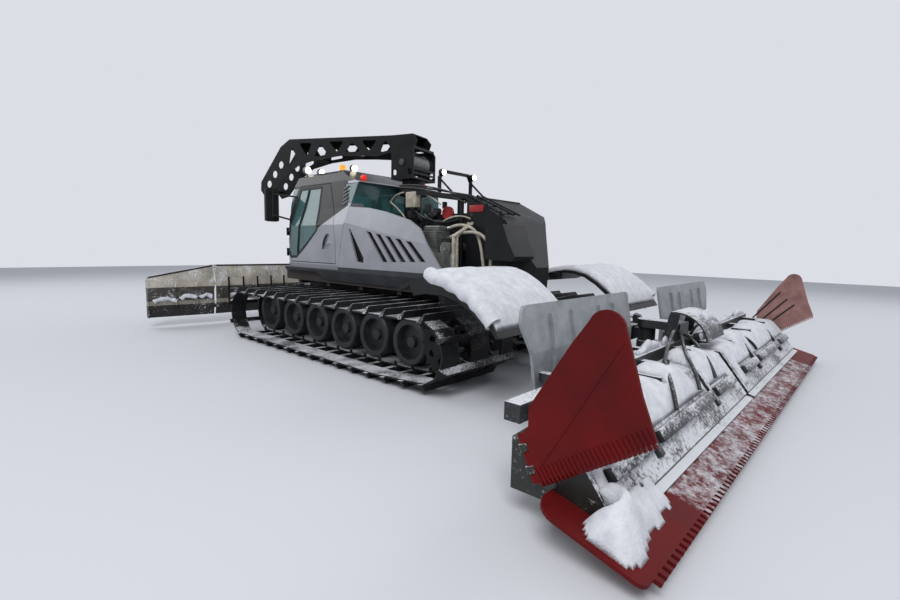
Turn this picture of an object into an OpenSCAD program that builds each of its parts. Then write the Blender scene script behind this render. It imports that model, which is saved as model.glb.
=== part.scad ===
// Snowcat groomer with a front blade, a slewing traction winch and a rear tiller.
// Millimetres. +Z is up, the machine drives towards -Y, and +X is its left side.
// The origin is on the ground, under the middle of the machine with its implements.

/* [Running gear] */
// Width over the two tracks
track_span = 4180; // [4000:10:4400]
// Width of one track, over its crossbars
track_w = 1380; // [1200:10:1440]
// Distance from the idler's axle to the sprocket's
wheelbase = 4400; // [4200:10:4600]
// Radius of the track's inner face round the idler
idler_r = 340; // [325:1:355]
// Radius of the track's inner face round the sprocket
sprocket_r = 330; // [315:1:345]
// How far the sprocket's axle is above the idler's
sprocket_rise = 40; // [0:1:80]
// Thickness of the rubber belts
belt_t = 22; // [16:1:30]
// Width of the middle belt, which the road wheels run on
mid_belt_w = 320; // [280:5:360]
// Width of the inner and outer belts
side_belt_w = 250; // [200:5:280]
// Height of a cleat over the belts
cleat_h = 78; // [50:1:90]
// Thickness of a cleat's top edge
cleat_t = 24; // [16:1:40]
// Width of a cleat's foot
cleat_foot_w = 70; // [50:1:90]
// Number of crossbars on one track
cleat_count = 34; // [28:1:38]
// Height of a guide horn inside the belt
horn_h = 62; // [40:1:80]
// Radius of a road wheel
wheel_r = 310; // [290:1:325]
// Width of a road wheel's tyre
wheel_w = 230; // [180:5:260]
// Distance between two road wheels
wheel_pitch = 715; // [680:1:740]

/* [Chassis] */
// Width of the tub between the tracks
tub_w = 1080; // [900:10:1200]
// Height of the tub's floor over the ground
tub_floor_z = 330; // [280:5:400]
// Height of the tub's top, where the deck sits
tub_top_z = 1000; // [980:5:1030]
// Height of the deck's top face
deck_top_z = 1230; // [1210:5:1250]
// Half width of the deck
deck_half_w = 1080; // [1000:5:1110]
// Wall of the engine side panels and the skirts
panel_t = 30; // [16:1:40]
// Height of the side panels' lower edge
panel_low_z = 1280; // [1260:5:1300]
// How far the side panels stand out past the deck
panel_over = 70; // [60:1:80]

/* [Cab] */
// Wall of the cab and its doors
cab_t = 45; // [30:1:60]
// Gap round a door
door_gap = 12; // [8:1:16]
// Thickness of the window glass
glass_t = 10; // [6:1:16]
// Depth of the glass below the outer skin
glass_in = 8; // [4:1:14]
// Clearance round each pane
pane_gap = 0.3; // [0.2:0.1:1]
// Height of the joint between cab and roof
roof_joint_z = 2690; // [2660:5:2710]

/* [Winch] */
// Distance of the winch's slewing axis behind the middle of the tracks, negative in front of it
winch_y = -100; // [-130:5:-60]
// Angle at which the boom rests, to the machine's left
winch_rest = 12; // [0:1:30]
// Radius of the winch's post
winch_post_r = 150; // [130:5:170]
// Height of the slewing ring's lower face
winch_ring_z = 2520; // [2480:5:2560]
// Half width of the winch tower
tower_half_w = 330; // [310:5:350]
// Half width of the boom
boom_half_w = 210; // [160:5:260]
// Plate thickness of the boom
boom_plate = 16; // [10:1:24]
// Radius of the rope drum
drum_r = 190; // [160:5:205]

/* [Front blade] */
// Half width of the blade's middle part
blade_half_w = 1700; // [1500:10:1800]
// Length of a blade wing
wing_w = 1150; // [900:10:1250]
// Angle at which the wings stand forward at rest
wing_rest = 8; // [0:1:20]
// Height of the blade
blade_h = 1000; // [900:10:1100]
// Height of the blade's cutting edge over the ground
blade_low_z = 190; // [120:5:260]
// Distance of the blade's hinge line in front of the middle of the tracks
blade_y = 4050; // [3950:10:4200]
// Plate thickness of the blade
blade_t = 28; // [16:1:36]
// Gap from a wing's pin to the edges beside it
wing_gap = 14; // [10:1:20]

/* [Tiller] */
// Half width of the tiller
tiller_half_w = 3260; // [3150:10:3320]
// How far the finisher stands out past the hoods
finisher_over = 230; // [210:5:250]
// Distance of the rotors' axis behind the middle of the tracks
rotor_y = 4560; // [4500:10:4620]
// Height of the rotors' axis
rotor_z = 300; // [280:5:330]
// Radius over the rotor's teeth
rotor_r = 200; // [160:5:220]
// Radius of the rotor's tube
rotor_tube_r = 84; // [60:1:100]
// Gap from the teeth to the hood
hood_gap = 36; // [20:1:50]
// Plate thickness of the hoods
hood_t = 12; // [8:1:20]
// Length of the finisher's middle part from its front edge to the teeth's root
finisher_len = 262; // [240:2:300]
// Slope of the finisher
finisher_slope = 15; // [12:1:17]
// Thickness of the finisher
finisher_t = 24; // [14:1:32]
// Length of the comb's teeth
comb_len = 40; // [30:1:50]
// Pitch of the comb's teeth
comb_pitch = 64; // [56:1:80]

/* [Hidden] */

seat_gap = 0.3;
pin_gap = 0.5;
panel_half_w = deck_half_w + panel_over;

// Places along the machine, from the middle of the tracks; datum_y puts the origin under the
// middle of the whole machine.
track_x = track_span / 2 - track_w / 2;
belt_in_z = cleat_h + belt_t;
idler_z = belt_in_z + idler_r;
sprocket_z = idler_z + sprocket_rise;
idler_y = -wheelbase / 2;
sprocket_y = wheelbase / 2;
wheel_z = belt_in_z + wheel_r;
wheel_ys = [for (i = [-2:2]) i * wheel_pitch + 20];
idler = [idler_y, idler_z, idler_r];
last_wheel = [wheel_ys[4], wheel_z, wheel_r];
sprocket = [sprocket_y, sprocket_z, sprocket_r];

blade_plate_y = -blade_y;
wing_pin_y = blade_plate_y - 110;
end_plate_reach = 80;
front_y = wing_pin_y - end_plate_reach * cos(wing_rest) - (wing_w + wing_gap) * sin(wing_rest);
finisher_front_y = rotor_y + 390;
finisher_reach = (finisher_len + comb_len) * cos(finisher_slope) + finisher_t * sin(finisher_slope);
rear_y = finisher_front_y + finisher_reach;
datum_y = -(front_y + rear_y) / 2;

// Plain helpers: prisms along each axis from outlines in the other two, bars and mirrored pairs.
module placed() translate([0, datum_y, 0]) children();

module both_sides() {
    children();
    mirror([1, 0, 0]) children();
}

module prism_x(outline, x0, x1)
    translate([x0, 0, 0]) rotate([90, 0, 90]) linear_extrude(x1 - x0) polygon(outline);

module prism_y(outline, y0, y1)
    translate([0, y1, 0]) rotate([90, 0, 0]) linear_extrude(y1 - y0) polygon(outline);

module prism_z(outline, z0, z1)
    translate([0, 0, z0]) linear_extrude(z1 - z0) polygon(outline);

module rod_x(x0, x1, y, z, r)
    translate([x0, y, z]) rotate([0, 90, 0]) cylinder(r = r, h = x1 - x0, $fn = 32);

module rod_y(y0, y1, x, z, r)
    translate([x, y0, z]) rotate([-90, 0, 0]) cylinder(r = r, h = y1 - y0, $fn = 32);

module rod(p, q, r) {
    d = q - p;
    azimuth = atan2(d[1], d[0]);
    lean = acos(d[2] / norm(d));
    translate(p) rotate([0, lean, azimuth]) cylinder(r = r, h = norm(d), $fn = 24);
}

module box(low, high) translate(low) cube(high - low);

function unit(v) = v / norm(v);
function left_of(p, q) = let(d = unit(q - p)) [-d[1], d[0]];

// An outline that runs anticlockwise, moved inwards by t.
function inset(pts, t) = let(n = len(pts)) [for (i = [0:n - 1])
    let(n1 = left_of(pts[(i + n - 1) % n], pts[i]),
        n2 = left_of(pts[i], pts[(i + 1) % n]),
        m = unit(n1 + n2))
    pts[i] + m * (t / (m * n1))];

// An outline with its corners rounded over a length d of each edge.
function rounded(pts, d) = let(n = len(pts)) [for (i = [0:n - 1])
    let(p = pts[i], a = p + unit(pts[(i + n - 1) % n] - p) * d, b = p + unit(pts[(i + 1) % n] - p) * d)
    for (t = [0, 0.25, 0.5, 0.75, 1]) a * (1 - t) * (1 - t) + p * 2 * t * (1 - t) + b * t * t];

function flip_x(pts) = [for (i = [len(pts) - 1:-1:0]) [-pts[i][0], pts[i][1]]];
function arc(c, r, a0, a1, n) = [for (i = [0:n])
    let(a = a0 + (a1 - a0) * i / n) [c[0] + r * cos(a), c[1] + r * sin(a)]];

// The track's path: points [y, z, angle of the outward normal] on the belt's inner face.
function line_normal(a, b) =
    let(d = [b[0] - a[0], b[1] - a[1]]) atan2(d[1], d[0]) - 90 + asin((a[2] - b[2]) / norm(d));
function wrap(c, a0, a1, n) = let(step = (a1 - a0) / n)
    concat([[c[0] + c[2] * cos(a0), c[1] + c[2] * sin(a0), a0]],
        [for (i = [0:n - 1]) let(a = a0 + (i + 0.5) * step, r = c[2] / cos(step / 2))
            [c[0] + r * cos(a), c[1] + r * sin(a), a]],
        [[c[0] + c[2] * cos(a1), c[1] + c[2] * sin(a1), a1]]);
low_normal = line_normal(idler, last_wheel);
rise_normal = line_normal(last_wheel, sprocket);
top_normal = line_normal(sprocket, idler) + 360;
loop = concat(wrap(last_wheel, low_normal, rise_normal, 1),
    wrap(sprocket, rise_normal, top_normal, 7),
    wrap(idler, top_normal, low_normal + 360, 7));

function gap_to(i) = let(p = loop[i], q = loop[(i + 1) % len(loop)]) norm([q[0] - p[0], q[1] - p[1]]);
function turn_to(i) = let(t = loop[(i + 1) % len(loop)][2] - loop[i][2]) t < -180 ? t + 360 : t;
function loop_length(i = 0) = i == len(loop) ? 0 : gap_to(i) + loop_length(i + 1);
function loop_at(s, i = 0) = s <= gap_to(i) || i == len(loop) - 1
    ? let(p = loop[i], q = loop[(i + 1) % len(loop)], f = s / gap_to(i))
        [p[0] + (q[0] - p[0]) * f, p[1] + (q[1] - p[1]) * f, p[2] + turn_to(i) * f]
    : loop_at(s - gap_to(i), i + 1);
cleat_pitch = loop_length() / cleat_count;

function loop_outline(off) = [for (p = loop) [p[0] + off * cos(p[2]), p[1] + off * sin(p[2])]];

belt_lap = 10;
side_belt_x = track_w / 2 - 45 - side_belt_w / 2;
horn_x = mid_belt_w / 2 + 24;

// One crossbar, wide at its foot, with its ends cut back. Local z is outwards.
module crossbar() {
    a = [track_w / 2, cleat_foot_w / 2, belt_t - belt_lap];
    b = [track_w / 2 - 75, cleat_t / 2, belt_t + cleat_h];
    polyhedron([[-a[0], -a[1], a[2]], [a[0], -a[1], a[2]], [a[0], a[1], a[2]], [-a[0], a[1], a[2]],
        [-b[0], -b[1], b[2]], [b[0], -b[1], b[2]], [b[0], b[1], b[2]], [-b[0], b[1], b[2]]],
        [[0, 1, 2, 3], [7, 6, 5, 4], [4, 5, 1, 0], [5, 6, 2, 1], [6, 7, 3, 2], [7, 4, 0, 3]]);
}

module belt(x, w) translate([x - w / 2, 0, 0]) rotate([90, 0, 90]) linear_extrude(w)
    difference() {
        polygon(loop_outline(belt_t));
        polygon(loop_outline(0));
    }

module horn() {
    half = 34;
    root = belt_t - 6;
    outline = [[-half, root], [-half / 4, -horn_h], [half / 4, -horn_h], [half, root]];
    translate([-9, 0, 0]) rotate([90, 0, 90]) linear_extrude(18) polygon(outline);
}

module track() translate([track_x, 0, 0]) {
    belt(0, mid_belt_w);
    belt(side_belt_x, side_belt_w);
    belt(-side_belt_x, side_belt_w);
    for (i = [0:cleat_count - 1]) {
        p = loop_at((i + 0.5) * cleat_pitch);
        translate([0, p[0], p[1]]) rotate([p[2] - 90, 0, 0]) {
            crossbar();
            for (x = [-horn_x, horn_x]) translate([x, 0, 0]) horn();
        }
    }
}

module track_left() color("#1b1c1e") placed() track();
module track_right() color("#1b1c1e") placed() mirror([1, 0, 0]) track();

// A road wheel: a rubber tyre on a dished steel disc with a hub.
module road_wheel(r, w) {
    section = [[0, -60], [70, -60], [80, -20], [r - 95, -30], [r - 80, -w / 2 + 14], [r - 20, -w / 2],
        [r, -w / 2 + 20], [r, w / 2 - 20], [r - 20, w / 2], [r - 80, w / 2 - 14], [r - 95, -6],
        [80, 12], [70, 66], [0, 66]];
    rotate([0, 90, 0]) rotate_extrude($fn = 48) polygon(section);
}

module wheels() {
    for (y = wheel_ys) translate([track_x, y, wheel_z]) road_wheel(wheel_r - seat_gap, wheel_w);
    translate([track_x, idler_y, idler_z]) road_wheel(idler_r - seat_gap, wheel_w);
}

module wheels_left() color("#5b5e60") placed() wheels();
module wheels_right() color("#5b5e60") placed() mirror([1, 0, 0]) wheels();

// Sprockets: two toothed rings on a drum, driven from the tub.
sprocket_ring_x = mid_belt_w / 2 + 110;
sprocket_ring_t = 36;
sprocket_teeth = 15;
module toothed_ring(x) translate([x, 0, 0]) rotate([0, 90, 0]) linear_extrude(sprocket_ring_t)
    difference() {
        union() {
            circle(r = sprocket_r - 52, $fn = 60);
            for (i = [0:sprocket_teeth - 1]) rotate(i * 360 / sprocket_teeth)
                polygon([[sprocket_r - 70, -34], [sprocket_r - 4, -14], [sprocket_r - 4, 14],
                    [sprocket_r - 70, 34]]);
        }
        for (i = [0:5]) rotate(i * 60) translate([165, 0]) circle(r = 48, $fn = 32);
    }

module sprocket_wheel() translate([track_x, sprocket_y, sprocket_z]) {
    toothed_ring(-sprocket_ring_x - sprocket_ring_t / 2);
    toothed_ring(sprocket_ring_x - sprocket_ring_t / 2);
    rod_x(-sprocket_ring_x - 80, sprocket_ring_x + 60, 0, 0, 108);
    rod_x(sprocket_ring_x + 60, sprocket_ring_x + 90, 0, 0, 70);
}

module sprockets() color("#3a3c3e") placed() both_sides() sprocket_wheel();

// Tub: the closed box between the tracks, with lugs for the push frame, the tiller arm and their
// lift cylinders.
tub_front_y = idler_y - 60;
tub_rear_y = sprocket_y + 130;
tub_outline = [[tub_front_y + 260, tub_floor_z], [tub_rear_y - 420, tub_floor_z],
    [tub_rear_y, tub_floor_z + 260], [tub_rear_y, tub_top_z], [tub_front_y, tub_top_z],
    [tub_front_y, tub_floor_z + 200]];
push_pin = [tub_front_y - 70, 620];
push_lift_pin = [tub_front_y - 90, 930];
arm_pin = [tub_rear_y + 70, 640];
arm_lift_pin = [tub_rear_y + 90, 930];
arm_x = 315;
arm_plate = 70;
arm_pin_r = 34;
lift_x = 190;
lift_pin_r = 20;
lift_eye_w = 40;
lug_t = 28;
tow_pin = [tub_front_y - 60, 780];
tow_r = 17;
tow_gap = 40;
tow_x = 420;

// A pair of lugs on a face of the tub, with a gap between them; the pin's centre is [y, z].
module lug_pair(face_y, pin, x, gap, r) {
    back = sign(face_y - pin[0]);
    for (side = [-1, 1]) translate([x + side * (gap / 2 + lug_t / 2) - lug_t / 2, 0, 0]) {
        rod_x(0, lug_t, pin[0], pin[1], r);
        box([0, min(pin[0], face_y), pin[1] - r], [lug_t, max(pin[0], face_y), pin[1] + r]);
    }
}

// A towing jaw: two level plates with an upright hole for the pin.
module tow_jaw() translate([tow_x, tow_pin[0], 0]) difference() {
    for (z = [tow_pin[1] - tow_gap / 2 - lug_t, tow_pin[1] + tow_gap / 2]) {
        translate([0, 0, z]) cylinder(r = 38, h = lug_t, $fn = 32);
        box([-38, 0, z], [38, tub_front_y - tow_pin[0], z + lug_t]);
    }
    translate([0, 0, tow_pin[1] - 60]) cylinder(r = tow_r, h = 120, $fn = 40);
}

module chassis_tub() color("#17181a") placed() {
    prism_x(tub_outline, -tub_w / 2, tub_w / 2);
    both_sides() {
        lug_pair(tub_front_y, push_pin, arm_x, arm_plate + 1, 55);
        rod_x(arm_x - arm_plate / 2 - 1, arm_x + arm_plate / 2 + 1, push_pin[0], push_pin[1], arm_pin_r);
        lug_pair(tub_front_y, push_lift_pin, lift_x, lift_eye_w + 1, 42);
        rod_x(lift_x - lift_eye_w / 2 - 1, lift_x + lift_eye_w / 2 + 1, push_lift_pin[0],
            push_lift_pin[1], lift_pin_r);
        lug_pair(tub_rear_y, arm_pin, arm_x, arm_plate + 1, 55);
        rod_x(arm_x - arm_plate / 2 - 1, arm_x + arm_plate / 2 + 1, arm_pin[0], arm_pin[1], arm_pin_r);
        lug_pair(tub_rear_y, arm_lift_pin, lift_x, lift_eye_w + 1, 42);
        rod_x(lift_x - lift_eye_w / 2 - 1, lift_x + lift_eye_w / 2 + 1, arm_lift_pin[0],
            arm_lift_pin[1], lift_pin_r);
        tow_jaw();
    }
}

module axle_beams() color("#222326") placed() both_sides() {
    inner = tub_w / 2;
    for (y = wheel_ys) {
        rod_x(inner, track_x - 60, y, wheel_z, 44);
        rod_x(inner, inner + 30, y, wheel_z, 92);
    }
    rod_x(inner, track_x - 60, idler_y, idler_z, 50);
    rod_x(inner, inner + 30, idler_y, idler_z, 100);
    rod_x(inner, track_x - sprocket_ring_x - 80, sprocket_y, sprocket_z, 170);
}

// Deck over the tub, and the skirts that hang below the panels.
deck_front_y = -2360;
deck_rear_y = 1900;
module deck() color("#231f1d") placed() {
    box([-deck_half_w, deck_front_y, tub_top_z], [deck_half_w, deck_rear_y, deck_top_z]);
    both_sides() for (y = [-2000, -1100, -200, 700, 1560])
        box([tub_w / 2 + 20, y, tub_top_z - 60], [deck_half_w - 30, y + 90, tub_top_z]);
}

skirt_low_z = 1050;
skirt_front_y = -1000;
skirt_rear_y = 1640;
module skirt() {
    section = [[deck_half_w, skirt_low_z], [panel_half_w - 50, skirt_low_z],
        [panel_half_w, panel_low_z - 70], [panel_half_w, panel_low_z], [deck_half_w, panel_low_z]];
    cut = [[skirt_front_y, skirt_low_z - 1], [skirt_rear_y - 20, skirt_low_z - 1],
        [skirt_rear_y + 60, panel_low_z + 1], [panel_front_y, panel_low_z + 1],
        [panel_front_y, cab_low_z], [skirt_front_y - 1300, cab_low_z],
        [skirt_front_y - 1300, cab_low_z - 60], [skirt_front_y - 300, cab_low_z - 60]];
    intersection() {
        prism_y(section, skirt_front_y - 1400, skirt_rear_y + 100);
        prism_x(cut, 0, 1400);
    }
}
module deck_skirts() color("#45484c") placed() both_sides() skirt();

// Cab. Its outer skin is where three outlines meet: from the side, from the front and from above.
cab_low_z = deck_top_z;
arch_foot = [-470, 2240];
cab_side = [[-2330, cab_low_z], [-640, cab_low_z], arch_foot, [-400, 2600], [-360, 2640],
    [-600, 2700], [-1000, 2895], [-2050, 2905], [-2290, 2840], [-2345, 2690], [-2520, 1480],
    [-2470, 1390]];
cab_half = [[panel_half_w - 15, cab_low_z], [panel_half_w, 1300], [panel_half_w - 30, 1960],
    [panel_half_w - 120, 2235], [panel_half_w - 245, 2690], [panel_half_w - 300, 2840],
    [panel_half_w - 430, 2905]];
cab_section = concat(cab_half, [[0, 2930]], flip_x(cab_half));
cab_plan_half = [[panel_half_w - 750, -2525], [panel_half_w - 390, -2460],
    [panel_half_w - 140, -2330], [panel_half_w + 50, -2080], [panel_half_w + 50, -200]];
cab_plan = concat(flip_x(cab_plan_half), [[0, -2545]], cab_plan_half);

module cab_solid(t) intersection() {
    prism_x(inset(cab_side, t), -1300, 1300);
    prism_y(inset(cab_section, t), -2700, 0);
    prism_z(inset(cab_plan, t), cab_low_z - 10, 3000);
}

module cab_wall(t0, t1) difference() {
    cab_solid(t0);
    cab_solid(t1);
}

door_outline = [[-2262, 1335], [-700, 1335], [-735, 1700], [-845, 2120], [-1175, 2662],
    [-2128, 2662]];
door_window = [[-2190, 1560], [-2075, 1425], [-1890, 1440], [-1300, 1880], [-1430, 2600],
    [-2080, 2600]];
wind_low_z = 1500;
wind_outline = [[-2700, wind_low_z], [-2335, wind_low_z], [-2195, 2650], [-2700, 2650]];
quarter_outline = [[-520, 2300], [-300, 2300], [-300, 2630], [-740, 2630]];
rear_window = [[-760, 1700], [760, 1700], [760, 2300], [700, 2590], [-700, 2590], [-760, 2300]];

module rear_region(t) {
    prism_x(inset(quarter_outline, t), -1300, 1300);
    prism_y(inset(rear_window, t), -860, -300);
}

module cab_shell() color("#9fa2a8") placed() {
    difference() {
        cab_wall(0, cab_t);
        box([-1300, -2700, roof_joint_z], [1300, 0, 3000]);
        both_sides() prism_x(inset(door_outline, -door_gap), 600, 1300);
        prism_x(wind_outline, -1300, 1300);
        rear_region(0);
    }
    both_sides() for (z = hinge_zs) hinge_knuckle(z, -1);
}

module cab_roof() color("#202123") placed() intersection() {
    cab_wall(0, cab_t);
    box([-1300, -2700, roof_joint_z], [1300, 0, 3000]);
}

module windshield() color("#7fa5a4") placed() intersection() {
    cab_wall(glass_in, glass_in + glass_t);
    prism_x(inset(wind_outline, pane_gap), -1300, 1300);
}

module cab_rear_glass() color("#7fa5a4") placed() intersection() {
    cab_wall(glass_in, glass_in + glass_t);
    rear_region(pane_gap);
}

// A door: its part of the cab's wall with the window cut, a hinge at the front edge, a handle.
hinge_x = panel_half_w - 32;
hinge_y = -2262;
hinge_zs = [1420, 1790];
hinge_len = 70;
module door() {
    difference() {
        intersection() {
            cab_wall(0, cab_t);
            prism_x(door_outline, 600, 1300);
        }
        prism_x(door_window, 600, 1300);
        prism_x([[-1120, 1560], [-880, 1560], [-900, 1800], [-960, 1820]], 1110, 1300);
    }
    for (z = hinge_zs) difference() {
        hinge_knuckle(z + hinge_len + seat_gap, 1);
        difference() {
            cab_solid(-4);
            prism_x(door_outline, 600, 1300);
        }
        prism_x(inset(door_window, -4), 600, 1300);
    }
    bar = [[-1775, 1400], [-1725, 1400], [-1755, 2630], [-1805, 2630]];
    intersection() {
        cab_wall(glass_in + glass_t + seat_gap, cab_t);
        prism_x(bar, 600, 1300);
    }
}

// Hinge knuckles: the cab's are below the door's on one pin line.
hinge_r = 15;
module hinge_knuckle(z, side) {
    translate([hinge_x, hinge_y, z]) cylinder(r = hinge_r, h = hinge_len, $fn = 32);
    y = [hinge_y + side * 4, hinge_y + (side > 0 ? 110 : -20)];
    x0 = side > 0 ? 1075 : 1030;
    box([x0, min(y), z], [hinge_x, max(y), z + hinge_len]);
}

module door_left() color("#8d9096") placed() door();
module door_right() color("#8d9096") placed() mirror([1, 0, 0]) door();

module door_pane() intersection() {
    cab_wall(glass_in, glass_in + glass_t);
    prism_x(inset(door_window, pane_gap), 600, 1300);
}
module door_glass_left() color("#7fa5a4") placed() door_pane();
module door_glass_right() color("#7fa5a4") placed() mirror([1, 0, 0]) door_pane();

// Cab interior: two seats, the console between them and the dashboard.
floor_z = cab_low_z + cab_t;
module seat(x) translate([x, 0, 0]) {
    box([-130, -1500, floor_z], [130, -1150, floor_z + 220]);
    box([-250, -1620, floor_z + 220], [250, -1080, floor_z + 360]);
    translate([0, -1080, floor_z + 300]) rotate([-12, 0, 0]) translate([-240, -130, 0])
        cube([480, 130, 680]);
}

module cab_interior() color("#2a2b2e") placed() {
    seat(280);
    seat(-420);
    box([-110, -1900, floor_z], [0, -1150, floor_z + 480]);
    box([560, -1800, floor_z], [760, -1150, floor_z + 460]);
    prism_x([[-2290, floor_z], [-2120, floor_z], [-2080, floor_z + 330], [-2360, floor_z + 210]],
        -820, 820);
}

// Roof lamps, beacon and mirrors.
// What stands on the cab is cut back to its skin, with a small gap.
module on_skin() difference() {
    children();
    cab_solid(-seat_gap);
}

module roof_lamp(x, y, z) translate([x, y, z]) {
    rotate([90, 0, 0]) cylinder(r = 70, h = 70, $fn = 32);
    translate([-12, -50, -160]) cube([24, 30, 110]);
}

beacon_at = [300, -1700];
module roof_lights() color("#e9e4cf") placed() on_skin() {
    both_sides() {
        roof_lamp(745, -2150, 2990);
        roof_lamp(420, -2200, 2995);
    }
    translate([beacon_at[0], beacon_at[1], 2850]) {
        cylinder(r = 20, h = 170, $fn = 24);
        translate([0, 0, 150]) cylinder(r = 52, h = 90, $fn = 32);
    }
}

mirror_at = [1235, -2560];
module mirror_one() {
    stem = [mirror_at[0], mirror_at[1], 0];
    on_skin() {
        rod([1040, -2180, 2060], stem + [0, 0, 2160], 16);
        rod([900, -2100, 2480], stem + [0, 0, 2540], 15);
    }
    rod(stem + [0, 0, 2100], stem + [0, 0, 2620], 18);
    translate(stem + [0, -40, 2340]) intersection() {
        box([-125, -40, -300], [125, 30, 300]);
        rotate([90, 0, 0]) cylinder(r = 310, h = 200, center = true, $fn = 48);
    }
}
module mirrors() color("#1d1e20") placed() both_sides() mirror_one();

// Engine side panels: a folded plate whose fold falls to the rear, with louvres cut through.
panel_fall = 10;
panel_front_y = -640 + 16;
panel_outline = [[panel_front_y, panel_low_z], [1700, panel_low_z], [1180, 1880], [950, 2000],
    [200, 2190], [-452, 2240], [-462, 2180]];
panel_fold_z = 1985;
module panel_plate() {
    top_x = panel_half_w - 105;
    section = [[panel_half_w, panel_low_z - 400], [panel_half_w, panel_low_z + 60],
        [panel_half_w - 28, panel_fold_z], [top_x, panel_fold_z + 300],
        [top_x - panel_t, panel_fold_z + 300], [panel_half_w - 28 - panel_t, panel_fold_z],
        [panel_half_w - panel_t, panel_low_z + 60], [panel_half_w - panel_t, panel_low_z - 400]];
    translate([0, -460, panel_fold_z]) rotate([-panel_fall, 0, 0])
        translate([0, 460, -panel_fold_z]) prism_y(section, -1200, 2600);
}

louvre_count = 5;
function louvre(i) = let(f = i / (louvre_count - 1),
    top = [70 + 880 * f, 1850 - 140 * f],
    low = [480 + 770 * f, 1400 + 30 * f],
    w = 112)
    [low, low + [w, 4], top + [w, -14], top];
big_slot = [[-130, 1385], [30, 1370], [35, 1440], [-330, 1890], [-370, 1880]];

module side_panel() difference() {
    intersection() {
        panel_plate();
        prism_x(panel_outline, 900, 1300);
    }
    for (i = [0:louvre_count - 1]) prism_x(louvre(i), 900, 1300);
    prism_x(big_slot, 900, 1300);
}
module side_panel_left() color("#a3a6ab") placed() side_panel();
module side_panel_right() color("#a3a6ab") placed() mirror([1, 0, 0]) side_panel();

// Engine and what hangs on it.
engine_y0 = 330;
engine_y1 = 1560;
engine_low_z = deck_top_z;
module engine() color("#2c2d30") placed() {
    prism_y([[-300, engine_low_z], [300, engine_low_z], [360, 1500], [360, 1900], [-360, 1900],
        [-360, 1500]], engine_y0, engine_y1);
    box([-260, engine_y0 + 40, 1900], [260, engine_y1 - 40, 2080]);
    box([-200, engine_y0 + 80, 2080], [200, engine_y1 - 80, 2140]);
}

module engine_dressing() color("#8b8c8c") placed() {
    both_sides() {
        box([720, 1060, deck_top_z], [1000, 1560, deck_top_z + 330]);
        translate([0, 0, 0]) for (i = [0:7])
            box([700, 1090, 1640 + i * 28], [980, 1400, 1640 + i * 28 + 14]);
        box([720, 1110, deck_top_z + 330], [960, 1380, 1640 + 7 * 28 + 14]);
        rod_x(360, 640, 1000, 1500, 120);
        rod_x(360, 600, 1330, 1620, 90);
    }
}

// The rear cover's outline, and the pipes and large hoses in front of it.
cover_front_y = 1640;
cover_half_w = 640;
cover_outline = [[cover_front_y, deck_top_z], [deck_rear_y, deck_top_z], [deck_rear_y, 1150],
    [2560, 1150], [2620, 1400], [2290, 1990], [2200, 2040], [cover_front_y, 2320]];
cover_plan = [[-cover_half_w, cover_front_y], [cover_half_w, cover_front_y], [cover_half_w, 2330],
    [400, 2620], [100, 2620], [-260, 2330], [-cover_half_w, 2060]];
module hoses() color("#c9c3ae") placed() both_sides() difference() {
    for (x = [900, 960]) {
        rod([x, 1700, deck_top_z], [x, 1700, 1780], 24);
        translate([x, 1700, 1780]) sphere(r = 29, $fn = 32);
        rod([x, 1700, 1780], [cover_half_w - 10, 1740 - (960 - x), 1960], 24);
    }
    prism_x(cover_outline, -cover_half_w, cover_half_w);
}

// Frame over the engine bay, up to the light arch's feet.
bay_outline = [[350, 2440], [cover_front_y, 2290], [cover_front_y, 2340], [350, 2500]];
module bay_top(t) prism_x(inset(bay_outline, t), -620 + t, 620 - t);
module bay_frame() color("#161719") placed() {
    difference() {
        bay_top(0);
        for (y = [[440, 790], [910, 1120], [1260, 1560]])
            box([-540, y[0], 2200], [540, y[1], 2600]);
    }
    both_sides() {
        rod([580, 420, deck_top_z], [580, 420, 2440], 28);
        rod([580, 1500, deck_top_z], [580, 1500, 2320], 28);
    }
}

module rear_cover() color("#141517") placed() {
    intersection() {
        prism_x(cover_outline, -cover_half_w, cover_half_w);
        prism_z(cover_plan, 1100, 2500);
    }
    intersection() {
        prism_x([[2150, 1500], [2550, 1480], [2580, 1540], [2420, 1930], [2150, 1950]], 400, 880);
        prism_z([[300, 2100], [820, 2100], [880, 2160], [880, 2500], [820, 2600], [300, 2600]], 1400, 2000);
    }
}

arch_y = 850;
arch_tube = 42;
arch_half_w = 380;
arch_top_z = 2790;
arch_outer = [[arch_half_w, 2400], [arch_half_w, arch_top_z - 110], [arch_half_w - 80, arch_top_z],
    [-arch_half_w + 80, arch_top_z], [-arch_half_w, arch_top_z - 110], [-arch_half_w, 2400]];
arch_lamp_x = 350;
module light_arch() color("#18191b") placed() difference() {
    union() {
        difference() {
            prism_y(arch_outer, arch_y - arch_tube / 2, arch_y + arch_tube / 2);
            prism_y([[arch_half_w - arch_tube, 2300], [arch_half_w - arch_tube, arch_top_z - 128],
                [arch_half_w - 98, arch_top_z - arch_tube], [-arch_half_w + 98, arch_top_z - arch_tube],
                [-arch_half_w + arch_tube, arch_top_z - 128], [-arch_half_w + arch_tube, 2300]],
                arch_y - 100, arch_y + 100);
        }
        both_sides() {
            rod_y(arch_y + arch_tube / 2 - 4, arch_y + 80, arch_lamp_x, arch_top_z - 50, 52);
            rod([arch_half_w - 21, arch_y, arch_top_z - 130], [arch_half_w - 21, arch_y + 330, 2378], 15);
        }
    }
    bay_top(-seat_gap);
}

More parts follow.
